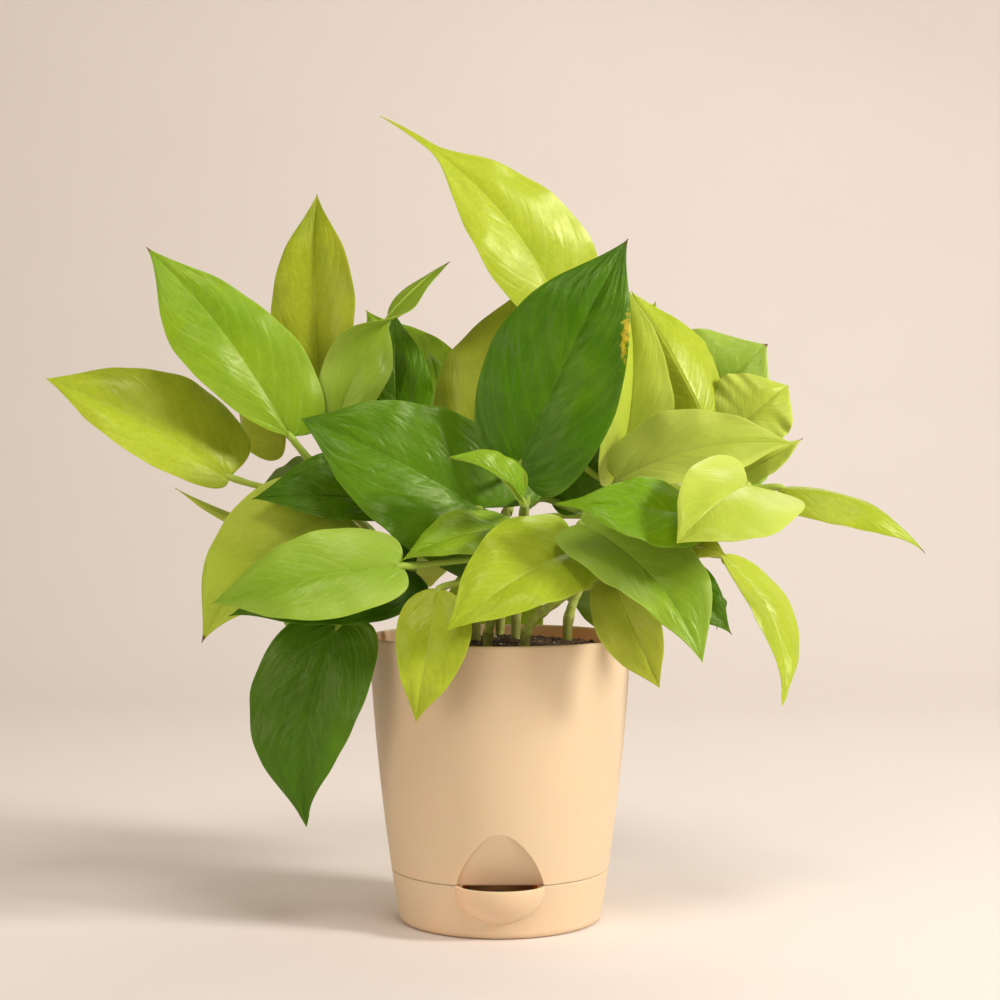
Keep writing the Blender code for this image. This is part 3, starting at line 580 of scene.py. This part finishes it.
def pot_material():
    n = Nodes("pot_plastic")
    mottle = n.noise(700.0, 2.0)
    colour = n.mix(n.steps(n.noise(9.0, 2.0), 0.3, 0.7), *POT_COLOURS)
    colour = n.mix(n.steps(mottle, 0.3, 0.8, 0.0, 0.25), colour, POT_MOTTLE)
    edge = n.node("ShaderNodeBevel", {"Radius": 0.0009}, samples=6).outputs[0]
    normal = n.bump(mottle, 0.18, 0.00008, edge)
    normal = n.bump(n.noise(2400.0, 2.0), 0.22, 0.00005, normal)
    rough = n.steps(n.noise(120.0, 3.0), 0.3, 0.7, 0.44, 0.54)
    return n.surface(Base_Color=colour, Roughness=rough, Normal=normal, IOR=1.49,
                     Subsurface_Weight=0.5, Subsurface_Radius=(1.0, 0.45, 0.18), Subsurface_Scale=0.008)


def floor_material():
    n = Nodes("floor_matte")
    return n.surface(Base_Color=n.mix(n.noise(6.0, 3.0), *FLOOR_COLOURS), Roughness=0.85,
                     Normal=n.bump(n.noise(600.0, 3.0), 0.1, 0.0002))


# ---------------------------------------------------------------- mesh helpers

def new_object(name, points, faces, material=None, smooth=True, sharp=None):
    """A mesh object from points in millimetres."""
    mesh = bpy.data.meshes.new(name)
    points = np.asarray(points, float) * MM
    mesh.from_pydata(points.tolist(), [], faces)
    mesh.validate()
    if material is not None:
        mesh.materials.append(material)
    if smooth:
        mesh.shade_smooth()
        if sharp is not None:
            mesh.set_sharp_from_angle(angle=math.radians(sharp))
    obj = bpy.data.objects.new(name, mesh)
    bpy.context.scene.collection.objects.link(obj)
    return obj


def set_attribute(obj, name, values):
    attribute = obj.data.attributes.new(name, "FLOAT", "POINT")
    attribute.data.foreach_set("value", np.asarray(values, np.float32))


def place(obj, slot, *nodes):
    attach(obj, "root")
    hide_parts(*nodes)


def unit(vectors):
    vectors = np.asarray(vectors, float)
    length = np.linalg.norm(vectors, axis=-1, keepdims=True)
    return vectors / np.maximum(length, 1e-9)


def square_to(directions, up):
    """The parts of up that are square to directions."""
    return unit(up - directions * np.sum(up * directions, axis=-1, keepdims=True))


def bezier(curve, parts):
    """Points and directions of a cubic Bezier."""
    a, b, c, d = (np.asarray(point, float) for point in curve)
    t = np.asarray(parts, float)[:, None]
    r = 1 - t
    points = a * r**3 + b * (3 * r * r * t) + c * (3 * r * t * t) + d * t**3
    slopes = (b - a) * (r * r) + (c - b) * (2 * r * t) + (d - c) * (t * t)
    return points, unit(slopes)


def carried(directions, up):
    """Up vectors along a path, carried without spin from the first."""
    ups = []
    for direction in directions:
        up = square_to(direction, up)
        ups.append(up)
    return np.array(ups)


def ring_faces(rings, sides, first=0):
    """Quads between rings of points, wound for outward faces on rings that run clockwise along the path."""
    faces = []
    for row in range(rings - 1):
        low = first + row * sides
        for side in range(sides):
            after = (side + 1) % sides
            faces.append((low + side, low + after, low + sides + after, low + sides + side))
    return faces


def capped(rings, sides):
    """The faces of a closed skin over rings of points."""
    ends = [tuple(reversed(range(sides))), tuple(range((rings - 1) * sides, rings * sides))]
    return ring_faces(rings, sides) + ends


def tube(points, directions, ups, radii, sides):
    """A capped tube. radii is one number or a pair (across, up) for each point."""
    rights = np.cross(directions, ups)
    radii = np.asarray(radii, float)
    if radii.ndim == 1:
        radii = np.stack([radii, radii], axis=1)
    turn = math.pi - math.tau * np.arange(sides) / sides
    ring = (points[:, None] + rights[:, None] * (radii[:, :1, None] * np.cos(turn)[None, :, None])
            + ups[:, None] * (radii[:, 1:, None] * np.sin(turn)[None, :, None]))
    return ring.reshape(-1, 3), capped(len(points), sides)


def hump(parts, middle, length):
    """A smooth hump that is 1 at middle and fades over length."""
    return np.exp(-(((parts - middle) / length) ** 2))


# ---------------------------------------------------------------- leaves

def stem_curve(stem):
    start = np.array((*stem.root, STEM_START), float)
    top = np.array(stem.top, float)
    climb = (top[2] - start[2]) * 0.4
    return start, start + (0, 0, climb), top * 0.7 + start * 0.3, top


def midrib(leaf, parts):
    """Points, directions, rights and ups along the midrib."""
    s = np.asarray(parts, float)[:, None]
    base = np.array(leaf.base, float)
    tip = np.array(leaf.tip, float)
    chord = unit(tip - base)
    up = square_to(chord, np.array(leaf.face, float))
    right = np.cross(chord, up)
    length = np.linalg.norm(tip - base)
    middle = (base + tip) / 2 + (up * leaf.arch + right * leaf.sweep) * 2
    points = base * (1 - s) ** 2 + middle * 2 * s * (1 - s) + tip * s**2
    slopes = (middle - base) * (1 - s) + (tip - middle) * s
    turn_off = right * leaf.bend - up * leaf.hook
    points = points + turn_off * (length * s**4)
    slopes = slopes * 2 + turn_off * (length * 4 * s**3)
    directions = unit(slopes)
    ups = square_to(directions, up)
    late = np.clip((s - 0.2) / 0.5, 0, 1)
    turn = np.radians(leaf.twist) * late * late * (3 - 2 * late)
    ups = ups * np.cos(turn) + np.cross(directions, ups) * np.sin(turn)
    return points, directions, np.cross(directions, ups), ups


def half_width(leaf, side, s):
    """The half width of one side at s, the part of the way to the tip."""
    part = np.minimum(s / (1 - leaf.tail), 1)
    before = (1 - (1 - np.minimum(part / side.widest, 1)) ** 2) ** side.base
    beyond = np.clip((part - side.widest) / (1 - side.widest), 0, 1)
    after = (1 - beyond ** SHOULDER) ** (leaf.taper * TAPER_GAIN)
    half = leaf.width / 2 * side.width * np.where(part < side.widest, before, after)
    near = np.clip((part - TIP_START) / TIP_LENGTH, 0, 1)
    half = half * (1 - TIP_PINCH * near ** 1.3)
    if leaf.tail:
        thin = TAIL_HALF_WIDTH * np.clip((1 - s) / (leaf.tail + 0.02), 0, 1) ** 0.8
        half = np.hypot(half, thin * np.clip((s - 0.4) / 0.3, 0, 1))
    return np.maximum(half, LEAST_HALF_WIDTH)


def leaf_seed(number):
    return random.Random(number + 100).random()


def blade_relief(leaf, number, half, u, s):
    """How far each point of the blade is raised: fold, curl, waves, hollows, puffing and midrib groove."""
    out = np.abs(u)
    phase = number * 1.7
    lift = half * (out * math.sin(math.radians(leaf.fold)) - leaf.curl * out**2)
    wave = np.sin(math.tau * leaf.waves * s + phase + np.where(u > 0, 1.9, 0))
    wave += 0.5 * np.sin(math.tau * leaf.waves * 2.3 * s + phase * 2.1 + np.where(u > 0, 0.7, 0))
    swell = np.minimum(1, (1 - s) * 3)
    lift = lift + half * leaf.ripple * wave * out**2.2 * swell
    # Broad, shallow hollows, then the finer puffing between the lateral veins.
    broad = np.sin(s * 9 + u * 2.3 + phase) * np.sin(s * 4.1 - u * 3.1 + phase * 0.6)
    lift = lift + HOLLOW_DEPTH * broad * np.sin(math.pi * np.minimum(out, 1)) * np.minimum(1, half / 14)
    span = s - VEIN_LEAN * out - VEIN_BEND * out**VEIN_BEND_POWER + leaf_seed(number) * SEED_SHIFT
    uneven = 0.5 + 0.5 * np.sin(span * 23 + u * 3 + phase * 3)
    puff = np.sin(math.pi * VEIN_PAIRS * span) ** 2
    lift = lift + PUFF_HEIGHT * uneven * puff * np.sin(math.pi * out) ** 0.8 * np.minimum(1, half / 12)
    return lift - GROOVE_DEPTH * np.exp(-((u * half / GROOVE_WIDTH) ** 2)) * np.minimum(1, half / 6)


def blade(leaf, number):
    """Points, faces and per-point values of the blade: a thin closed shell with veins pressed into it."""
    points, directions, rights, ups = midrib(leaf, ALONG)
    s = ALONG[:, None]
    u = ACROSS[None, :]
    out = np.abs(u)
    left = half_width(leaf, leaf.left, ALONG)[:, None]
    right = half_width(leaf, leaf.right, ALONG)[:, None]
    half = np.where(u < 0, left, right)
    lift = blade_relief(leaf, number, half, u, s)
    lobe = leaf.lobe * np.maximum(0, 1 - s / WIDEST_AT) ** 1.3
    middle = (points[:, None] + rights[:, None] * (half * u * math.cos(math.radians(leaf.fold)))[..., None]
              + ups[:, None] * lift[..., None]
              - directions[:, None] * (lobe * half * out**1.3)[..., None])
    # Normals of the middle surface, for an even thickness.
    normal = unit(np.cross(np.gradient(middle, axis=1), np.gradient(middle, axis=0)))
    thick = LEAF_THICKNESS / 2 * np.clip(half / 3, 0.3, 1)
    thick = thick * np.where(out > 0.99, 0.5, 1)
    top = middle + normal * thick[..., None]
    low = middle - normal * thick[..., None]
    rings = np.concatenate((top, low[:, ::-1]), axis=1)
    count, sides = rings.shape[:2]
    cross = np.concatenate((np.repeat(u, count, 0), np.repeat(u[:, ::-1], count, 0)), axis=1)
    down = np.concatenate((np.zeros_like(top[..., 0]), np.ones_like(top[..., 0])), axis=1)
    length = np.repeat(s, sides, 1)
    return rings.reshape(-1, 3), capped(count, sides), cross.ravel(), length.ravel(), down.ravel()


def leaf_stalk(leaf, stem):
    """The stalk from inside the stem to the blade, and on as the midrib's ridge under the blade."""
    point, axis = bezier(stem_curve(stem), [leaf.at])
    point, axis = point[0], axis[0]
    base, direction, _, _ = (item[0] for item in midrib(leaf, [0.0]))
    side = square_to(axis, base - point)
    angle = math.radians(PETIOLE_ANGLE)
    leave = side * math.cos(angle) + axis * math.sin(angle)
    clear = (STEM_RADIUS + STALK_GAP + PETIOLE_FOOT_RADIUS * math.sin(angle)) / math.cos(angle)
    start = point + leave * clear
    span = np.linalg.norm(base - start)
    arrive = unit(unit(base - start) * 0.6 + direction * 0.4)
    curve = (start, start + leave * span * 0.35, base - arrive * span * 0.35, base)
    points, directions = bezier(curve, np.linspace(0, 1, STALK_POINTS))
    inner = point + leave * (clear * 0.25)
    rib_parts = np.array(RIB_PARTS)
    rib, rib_directions, _, rib_ups = midrib(leaf, rib_parts)
    rib_radius = RIB_RADIUS * (1 - rib_parts) ** 0.8 * min(1, leaf.width / 40) + 0.15
    rib = rib - rib_ups * (GROOVE_DEPTH + rib_radius * 0.85)[:, None]
    points = np.concatenate((inner[None], points, rib))
    directions = np.concatenate((leave[None], directions, rib_directions))
    ups = carried(directions[::-1], rib_ups[-1])[::-1]
    part = np.linspace(0, 1, STALK_POINTS + 1)
    radius = PETIOLE_FOOT_RADIUS + (PETIOLE_RADIUS - PETIOLE_FOOT_RADIUS) * part
    radius = radius + STALK_SWELL * hump(part, 0, 0.10) + STALK_NECK * hump(part, 0.93, 0.06)
    wide = radius + STALK_FLARE * hump(part, 0, 0.3)
    radii = np.stack([np.concatenate((wide, rib_radius)), np.concatenate((radius, rib_radius))], axis=1)
    return tube(points, directions, ups, radii, STALK_SIDES)


def build_leaf(leaf, stem, number, material):
    points, faces, cross, length, down = blade(leaf, number)
    stalk, stalk_faces = leaf_stalk(leaf, stem)
    first = len(points)
    faces += [tuple(first + index for index in face) for face in stalk_faces]
    obj = new_object(leaf.name + "_look", np.concatenate((points, stalk)), faces, material, sharp=55)
    extra = np.zeros(len(stalk))
    values = {"across": cross, "along": length, "below": down}
    if leaf.scar:
        values["scar"] = np.exp(-(((length - leaf.scar[0]) / SCAR_REACH[0]) ** 2
                                  + ((cross - leaf.scar[1]) / SCAR_REACH[1]) ** 2))
    for name, blade_values in values.items():
        set_attribute(obj, name, np.concatenate((blade_values, extra)))
    set_attribute(obj, "stalk", np.concatenate((np.zeros(first), extra + 1)))
    for name, value in (("seed", leaf_seed(number)), ("shade", leaf.shade), ("burn", leaf.burn)):
        set_attribute(obj, name, np.full(first + len(stalk), value))
    place(obj, "leaf_" + leaf.tone, leaf.name)


# ---------------------------------------------------------------- stems and soil

def build_stem(stem, number, material):
    """A stem with swollen joints, from under the soil's surface."""
    rng = random.Random(number + 500)
    part = np.linspace(0, 1, STEM_POINTS)
    points, directions = bezier(stem_curve(stem), part)
    root = np.array((*stem.root, SOIL_HEIGHT))
    sunk = np.array([root + (0, 0, rise) for rise in (-6, -2, 2, 5)])
    points = np.concatenate((sunk, points))
    directions = np.concatenate((np.repeat([[0, 0, 1.0]], len(sunk), 0), directions))
    part = np.concatenate((np.zeros(len(sunk)), part))
    ups = carried(directions, np.array((0, -1.0, 0)))
    spots = [leaf.at for leaf in LEAVES if leaf.stem == stem.name] + list(STEM_JOINTS)
    joint = np.minimum(sum(hump(part, spot, JOINT_LENGTH) for spot in spots), 1)
    radius = STEM_RADIUS + (STEM_TIP_RADIUS - STEM_RADIUS) * part
    radius = radius * (1 + JOINT_SWELL * joint)
    radius += np.array([rng.uniform(-STEM_ROUGHNESS, STEM_ROUGHNESS) for _ in radius])
    skin, faces = tube(points, directions, ups, radius, STEM_SIDES)
    obj = new_object(stem.name + "_look", skin, faces, material, sharp=60)
    set_attribute(obj, "along", np.repeat(part, STEM_SIDES))
    set_attribute(obj, "joint", np.repeat(joint, STEM_SIDES))
    place(obj, "stem", stem.name)


def polar(radius, turn):
    """x and y at this radius, turned from the front."""
    return radius * math.sin(turn), -radius * math.cos(turn)


def pot_radius(height):
    part = height / POT_HEIGHT
    return BASE_RADIUS + (RIM_RADIUS - BASE_RADIUS) * part + BELLY * 4 * part * (1 - part)


def soil_top(x, y):
    rim = pot_radius(SOIL_HEIGHT) - WALL - 0.3
    part = min(1, math.hypot(x, y) / rim)
    uneven = SOIL_UNEVEN * math.sin(x * 0.19 + 1) * math.cos(y * 0.23)
    return SOIL_HEIGHT + SOIL_HEAP * (1 - part * part) + uneven


def soil_surface(rng, rim):
    """Points, faces and tones of the rough surface and the short skirt under its edge."""
    points = []
    tones = []
    for row in range(SOIL_ROWS + 1):
        radius = rim * (row / SOIL_ROWS) ** 0.9
        for side in range(SOIL_SIDES):
            x, y = polar(radius, math.tau * side / SOIL_SIDES)
            rough = rng.uniform(-SOIL_ROUGHNESS, SOIL_ROUGHNESS) * min(1, row / 3) * (row < SOIL_ROWS)
            points.append((x, y, soil_top(x, y) + rough))
            tones.append(rng.random() ** 3)
    skirt = len(points)
    for side in range(SOIL_SIDES):
        points.append((*polar(rim, math.tau * side / SOIL_SIDES), SOIL_HEIGHT - SOIL_SKIRT))
        tones.append(0.0)
    faces = []
    for row in range(SOIL_ROWS + 1):
        low = row * SOIL_SIDES
        high = low + SOIL_SIDES
        for side in range(SOIL_SIDES):
            after = (side + 1) % SOIL_SIDES
            faces.append((low + side, high + side, high + after, low + after))
    faces.append(tuple(range(skirt, skirt + SOIL_SIDES)))
    return points, faces, tones


def unit_ball():
    form = bmesh.new()
    bmesh.ops.create_icosphere(form, subdivisions=1, radius=1)
    corners = [vert.co.copy() for vert in form.verts]
    faces = [tuple(vert.index for vert in face.verts) for face in form.faces]
    form.free()
    return corners, faces


def build_soil(material):
    """The mix's rough surface, with crumbs, bark and a few white grains lying on it."""
    rng = random.Random(11)
    rim = pot_radius(SOIL_HEIGHT) - WALL - 0.2
    points, faces, tones = soil_surface(rng, rim)
    kinds = [GRAIN] * len(points)
    ball, ball_faces = unit_ball()
    for _ in range(CRUMBS):
        x, y = polar(rim * math.sqrt(rng.random()) * 0.985, rng.uniform(0, math.tau))
        draw = rng.random()
        kind = WHITE_GRAIN if draw > 0.975 else BARK if draw > 0.80 else GRAIN
        size = rng.uniform(0.5, 1.3) ** 1.6 if kind < WHITE_GRAIN else rng.uniform(0.6, 1.2)
        stretch = Vector((rng.uniform(0.7, 1.2), rng.uniform(0.7, 1.2), rng.uniform(0.5, 0.9)))
        if kind == BARK:
            stretch = Vector((rng.uniform(1.5, 3.2), rng.uniform(0.3, 0.6), rng.uniform(0.25, 0.5)))
        spin = Matrix.Rotation(rng.uniform(0, math.tau), 3, "Z")
        spin = spin @ Matrix.Rotation(rng.uniform(-0.5, 0.5), 3, "X")
        tone = rng.random() ** 2
        first = len(points)
        for corner in ball:
            spot = corner * (1 + rng.uniform(-0.22, 0.22))
            spot = spin @ Vector((spot.x * stretch.x, spot.y * stretch.y, spot.z * stretch.z)) * size
            points.append((x + spot.x, y + spot.y, soil_top(x, y) + size * 0.2 + spot.z))
            kinds.append(kind)
            tones.append(tone)
        faces += [tuple(first + index for index in face) for face in ball_faces]
    obj = new_object("soil_look", points, faces, material, sharp=50)
    set_attribute(obj, "kind", kinds)
    set_attribute(obj, "tone", tones)
    place(obj, "soil", "soil")


# ---------------------------------------------------------------- pot

def rings_round(profile):
    """Points round the axis for each radius and height of the profile."""
    turns = [math.tau * (side + 0.5) / POT_SEGMENTS for side in range(POT_SEGMENTS)]
    return [(*polar(radius, turn), height) for radius, height in profile for turn in turns]


def turned(profile):
    """A solid of revolution. The profile runs from the axis at the bottom to the axis at the top."""
    rings = profile[1:-1]
    points = [(0, 0, profile[0][1])] + rings_round(rings) + [(0, 0, profile[-1][1])]
    last = len(points) - 1
    top = last - POT_SEGMENTS
    faces = ring_faces(len(rings), POT_SEGMENTS, 1)
    for side in range(POT_SEGMENTS):
        after = (side + 1) % POT_SEGMENTS
        faces.append((0, 1 + after, 1 + side))
        faces.append((top + side, top + after, last))
    return points, faces


def turned_ring(profile):
    """A ring round the axis, with a closed profile that runs anticlockwise."""
    faces = []
    for row in range(len(profile)):
        low = row * POT_SEGMENTS
        high = (row + 1) % len(profile) * POT_SEGMENTS
        for side in range(POT_SEGMENTS):
            after = (side + 1) % POT_SEGMENTS
            faces.append((low + side, low + after, high + after, high + side))
    return rings_round(profile), faces


def wall_line(bottom, top, inset, steps):
    heights = [bottom + (top - bottom) * step / steps for step in range(steps + 1)]
    return [(pot_radius(height) - inset, height) for height in heights]


def prism(outline, lift):
    count = len(outline)
    far = [tuple(a + b for a, b in zip(point, lift)) for point in outline]
    faces = [tuple(reversed(range(count))), tuple(range(count, 2 * count))]
    for here in range(count):
        after = (here + 1) % count
        faces.append((here, after, count + after, count + here))
    return list(outline) + far, faces


def recess_shape(grow):
    """The arched recess above the scoop, grown on every side by grow."""
    slope = math.atan2(pot_radius(SEAM_HEIGHT + RECESS_RISE) - RECESS_SETBACK, RECESS_RISE)
    upward = Vector((0, -math.sin(slope), math.cos(slope)))
    outward = Vector((0, -math.cos(slope), -math.sin(slope)))
    foot = Vector((0, -RECESS_SETBACK, SEAM_HEIGHT)) - outward * grow
    rise = RECESS_RISE / math.cos(slope) + grow
    half = RECESS_HALF_WIDTH + grow
    steps, depth_below = 28, 12
    right = [(half, -depth_below)]
    for step in range(steps):
        part = math.sin(math.pi / 2 * step / steps)
        right.append((half * (1 - part ** 1.4) ** 0.58, rise * part))
    left = [(-across, along) for across, along in reversed(right)]
    outline = []
    for across, along in right + [(0, rise)] + left:
        outline.append(tuple(foot + Vector((across, 0, 0)) + upward * along))
    return prism(outline, outward * (RIM_RADIUS - RECESS_SETBACK + grow + 10))


def scoop_shape(inset, above):
    """The half ellipsoid of the scoop, drawn in by inset, with a straight part above the seam."""
    sides, levels = 80, 20
    points = []
    for level in range(levels):
        dip = math.radians(90) * level / levels
        height = SEAM_HEIGHT - (SCOOP_DEPTH - inset) * math.sin(dip)
        for side in range(sides):
            turn = math.tau * side / sides
            across = (SCOOP_HALF_WIDTH - inset) * math.cos(dip) * math.cos(turn)
            away = (SCOOP_REACH - inset) * math.cos(dip) * math.sin(turn)
            points.append((across, away - SCOOP_SETBACK, height))
    if above > 0:
        points = [(x, y, SEAM_HEIGHT + above) for x, y, _ in points[:sides]] + points
        levels += 1
    points.append((0, -SCOOP_SETBACK, SEAM_HEIGHT - (SCOOP_DEPTH - inset)))
    last = len(points) - 1
    faces = [tuple(range(sides))]
    for side in range(sides):
        after = (side + 1) % sides
        for level in range(levels - 1):
            high = level * sides
            low = high + sides
            faces.append((low + side, low + after, high + after, high + side))
        bottom = (levels - 1) * sides
        faces.append((last, bottom + after, bottom + side))
    return points, faces


def cut(obj, cutters):
    """Booleans, applied. cutters is a list of (an object, or points and faces; operation)."""
    helpers = []
    for number, (shape, operation) in enumerate(cutters):
        helper = shape
        if not isinstance(shape, bpy.types.Object):
            helper = new_object(f"helper_{number}", *shape, smooth=False)
        helpers.append(helper)
        modifier = obj.modifiers.new("cut", "BOOLEAN")
        modifier.operation = operation
        modifier.solver = "EXACT"
        modifier.object = helper
    bpy.context.view_layer.update()
    graph = bpy.context.evaluated_depsgraph_get()
    mesh = bpy.data.meshes.new_from_object(obj.evaluated_get(graph))
    obj.modifiers.clear()
    old = obj.data
    obj.data = mesh
    bpy.data.meshes.remove(old)
    for helper in helpers:
        bpy.data.objects.remove(helper, do_unlink=True)
    return obj


def finish_plastic(obj, material, node):
    obj.data.materials.clear()
    obj.data.materials.append(material)
    obj.data.shade_smooth()
    obj.data.set_sharp_from_angle(angle=math.radians(22))
    place(obj, "pot_plastic", node)


def pot_outside(skirt_foot, skirt):
    """The profile of the uncut pot: foot, skirt, shoulder, wall and rounded lip."""
    shoulder = SEAM_HEIGHT + SEAM_GAP
    lip = []
    for degrees in (0, 20, 45, 70, 90):
        turn = math.radians(degrees)
        lip.append((pot_radius(POT_HEIGHT) - LIP_RADIUS + LIP_RADIUS * math.cos(turn),
                    POT_HEIGHT - LIP_RADIUS + LIP_RADIUS * math.sin(turn)))
    profile = [(0, FOOT_LIFT), (FOOT_RADIUS, FOOT_LIFT), (FOOT_RADIUS, skirt_foot)]
    profile += [(skirt, skirt_foot), (skirt, shoulder), (pot_radius(shoulder) - SEAM_EDGE, shoulder)]
    profile += wall_line(shoulder + SEAM_EDGE, POT_HEIGHT - LIP_RADIUS, 0, 30)[:-1]
    return profile + lip + [(0, POT_HEIGHT)]


def pot_inside(floor):
    """The profile of the room for the soil, with the lip's inner rounding at its top."""
    foot = FOOT_RADIUS - WALL
    rim = pot_radius(POT_HEIGHT) - WALL
    profile = [(0, FOOT_LIFT + WALL), (foot, FOOT_LIFT + WALL), (foot, floor + WALL)]
    profile += wall_line(floor + WALL, POT_HEIGHT - 0.8, WALL, 24)
    profile += [(rim + 0.15, POT_HEIGHT - 0.4), (rim + 0.5, POT_HEIGHT - 0.08)]
    return profile + [(rim + 1.0, POT_HEIGHT + 0.2), (rim + 1.0, POT_HEIGHT + 3), (0, POT_HEIGHT + 3)]


def build_pot(material):
    floor = SEAM_HEIGHT + FLOOR_RISE
    skirt_foot = SEAM_HEIGHT - SKIRT_DEPTH
    skirt = pot_radius(skirt_foot) - WALL - SKIRT_CLEARANCE
    low = skirt_foot - PAST
    pot = new_object("pot_look", *turned(pot_outside(skirt_foot, skirt)), material)
    around_recess = [(recess_shape(WALL), "DIFFERENCE")]
    inner = cut(new_object("hollow", *turned(pot_inside(floor))), around_recess)
    collar = FOOT_RADIUS + FOOT_COLLAR
    under = [(collar, low), (skirt - WALL, low), (skirt - WALL, floor), (collar, floor)]
    below = cut(new_object("under", *turned_ring(under)), around_recess)
    # The foot's slots are a cross.
    slim, reach = SLOT_HALF_WIDTH, FOOT_RADIUS + PAST
    cross = [(slim, slim), (reach, slim), (reach, -slim), (slim, -slim), (slim, -reach), (-slim, -reach)]
    cross += [(-x, -y) for x, y in cross]
    slots = prism([(x, y, SLOT_FOOT) for x, y in reversed(cross)], (0, 0, SLOT_HEIGHT))
    side, front, back = NOTCH_HALF_WIDTH, -skirt - PAST, NOTCH_REACH - RECESS_SETBACK
    corners = ((-side, front), (side, front), (side, back), (-side, back))
    notch = prism([(x, y, low) for x, y in corners], (0, 0, SKIRT_DEPTH + PAST))
    cut(pot, [(shape, "DIFFERENCE") for shape in (recess_shape(0), inner, below, slots, notch)])
    finish_plastic(pot, material, "pot")


def build_reservoir(material):
    profile = [(0, 0)]
    for degrees in range(0, 91, 10):
        turn = math.radians(degrees)
        profile.append((pot_radius(BASE_FILLET) - BASE_FILLET * (1 - math.sin(turn)),
                        BASE_FILLET * (1 - math.cos(turn))))
    profile += wall_line(BASE_FILLET, SEAM_HEIGHT - SEAM_EDGE, 0, 8)[1:]
    profile += [(pot_radius(SEAM_HEIGHT) - SEAM_EDGE, SEAM_HEIGHT), (0, SEAM_HEIGHT)]
    reservoir = new_object("reservoir_look", *turned(profile), material)
    above = 4
    corner = pot_radius(BASE_FILLET) - WALL
    hollow = [(0, WALL), (corner - 2, WALL), (corner - 0.6, WALL + 0.6), (corner, BASE_FILLET)]
    hollow += wall_line(BASE_FILLET, SEAM_HEIGHT + above, WALL, 8)[1:] + [(0, SEAM_HEIGHT + above)]
    cut(reservoir, [(scoop_shape(0, 0), "UNION"), (turned(hollow), "DIFFERENCE"),
                    (scoop_shape(SCOOP_WALL, above), "DIFFERENCE")])
    finish_plastic(reservoir, material, "reservoir")


# ---------------------------------------------------------------- stage

def build_light(light):
    lamp = bpy.data.lights.new(light.name, "AREA")
    lamp.shape = "DISK"
    lamp.size = light.size
    lamp.energy = light.power
    lamp.color = light.colour
    obj = bpy.data.objects.new(light.name, lamp)
    bpy.context.scene.collection.objects.link(obj)
    obj.location = light.place
    obj.rotation_euler = (Vector(light.aim) - Vector(light.place)).to_track_quat("-Z", "Y").to_euler()


def build_floor():
    """A pale floor that bends up into the wall behind."""
    flat = STAGE_BACK - STAGE_BEND
    line = [(STAGE_FRONT, 0.0), (flat, 0.0)]
    for degrees in range(10, 90, 10):
        turn = math.radians(degrees)
        line.append((flat + STAGE_BEND * math.sin(turn), STAGE_BEND * (1 - math.cos(turn))))
    line += [(STAGE_BACK, STAGE_BEND), (STAGE_BACK, STAGE_HEIGHT)]
    points = [(x / MM, y / MM, z / MM) for y, z in line for x in (-STAGE_HALF_WIDTH, STAGE_HALF_WIDTH)]
    faces = [(2 * row, 2 * row + 1, 2 * row + 3, 2 * row + 2) for row in range(len(line) - 1)]
    new_object("floor", points, faces, floor_material())


def build_camera():
    camera = bpy.data.cameras.new("camera")
    camera.lens = CAMERA_LENS
    camera.sensor_width = CAMERA_SENSOR
    camera.clip_start = CAMERA_CLIP
    holder = bpy.data.objects.new("camera", camera)
    bpy.context.scene.collection.objects.link(holder)
    holder.location = CAMERA_PLACE
    holder.rotation_euler = (math.radians(90 - CAMERA_TILT), 0, 0)
    bpy.context.scene.camera = holder


def build_stage():
    build_floor()
    for light in LIGHTS:
        build_light(light)
    world = bpy.data.worlds.new("studio")
    bpy.context.scene.world = world
    world.use_nodes = True
    background = world.node_tree.nodes["Background"]
    background.inputs["Color"].default_value = WORLD_COLOUR
    background.inputs["Strength"].default_value = WORLD_STRENGTH
    build_camera()
    bpy.context.scene.view_settings.view_transform = "Standard"


def build():
    plastic = pot_material()
    build_pot(plastic)
    build_reservoir(plastic)
    build_soil(soil_material())
    green = stem_material()
    for number, stem in enumerate(STEMS):
        build_stem(stem, number, green)
    leaf_materials = {tone: leaf_material(tone) for tone in TONES}
    stems = {stem.name: stem for stem in STEMS}
    for number, leaf in enumerate(LEAVES):
        build_leaf(leaf, stems[leaf.stem], number, leaf_materials[leaf.tone])
    build_stage()


build()
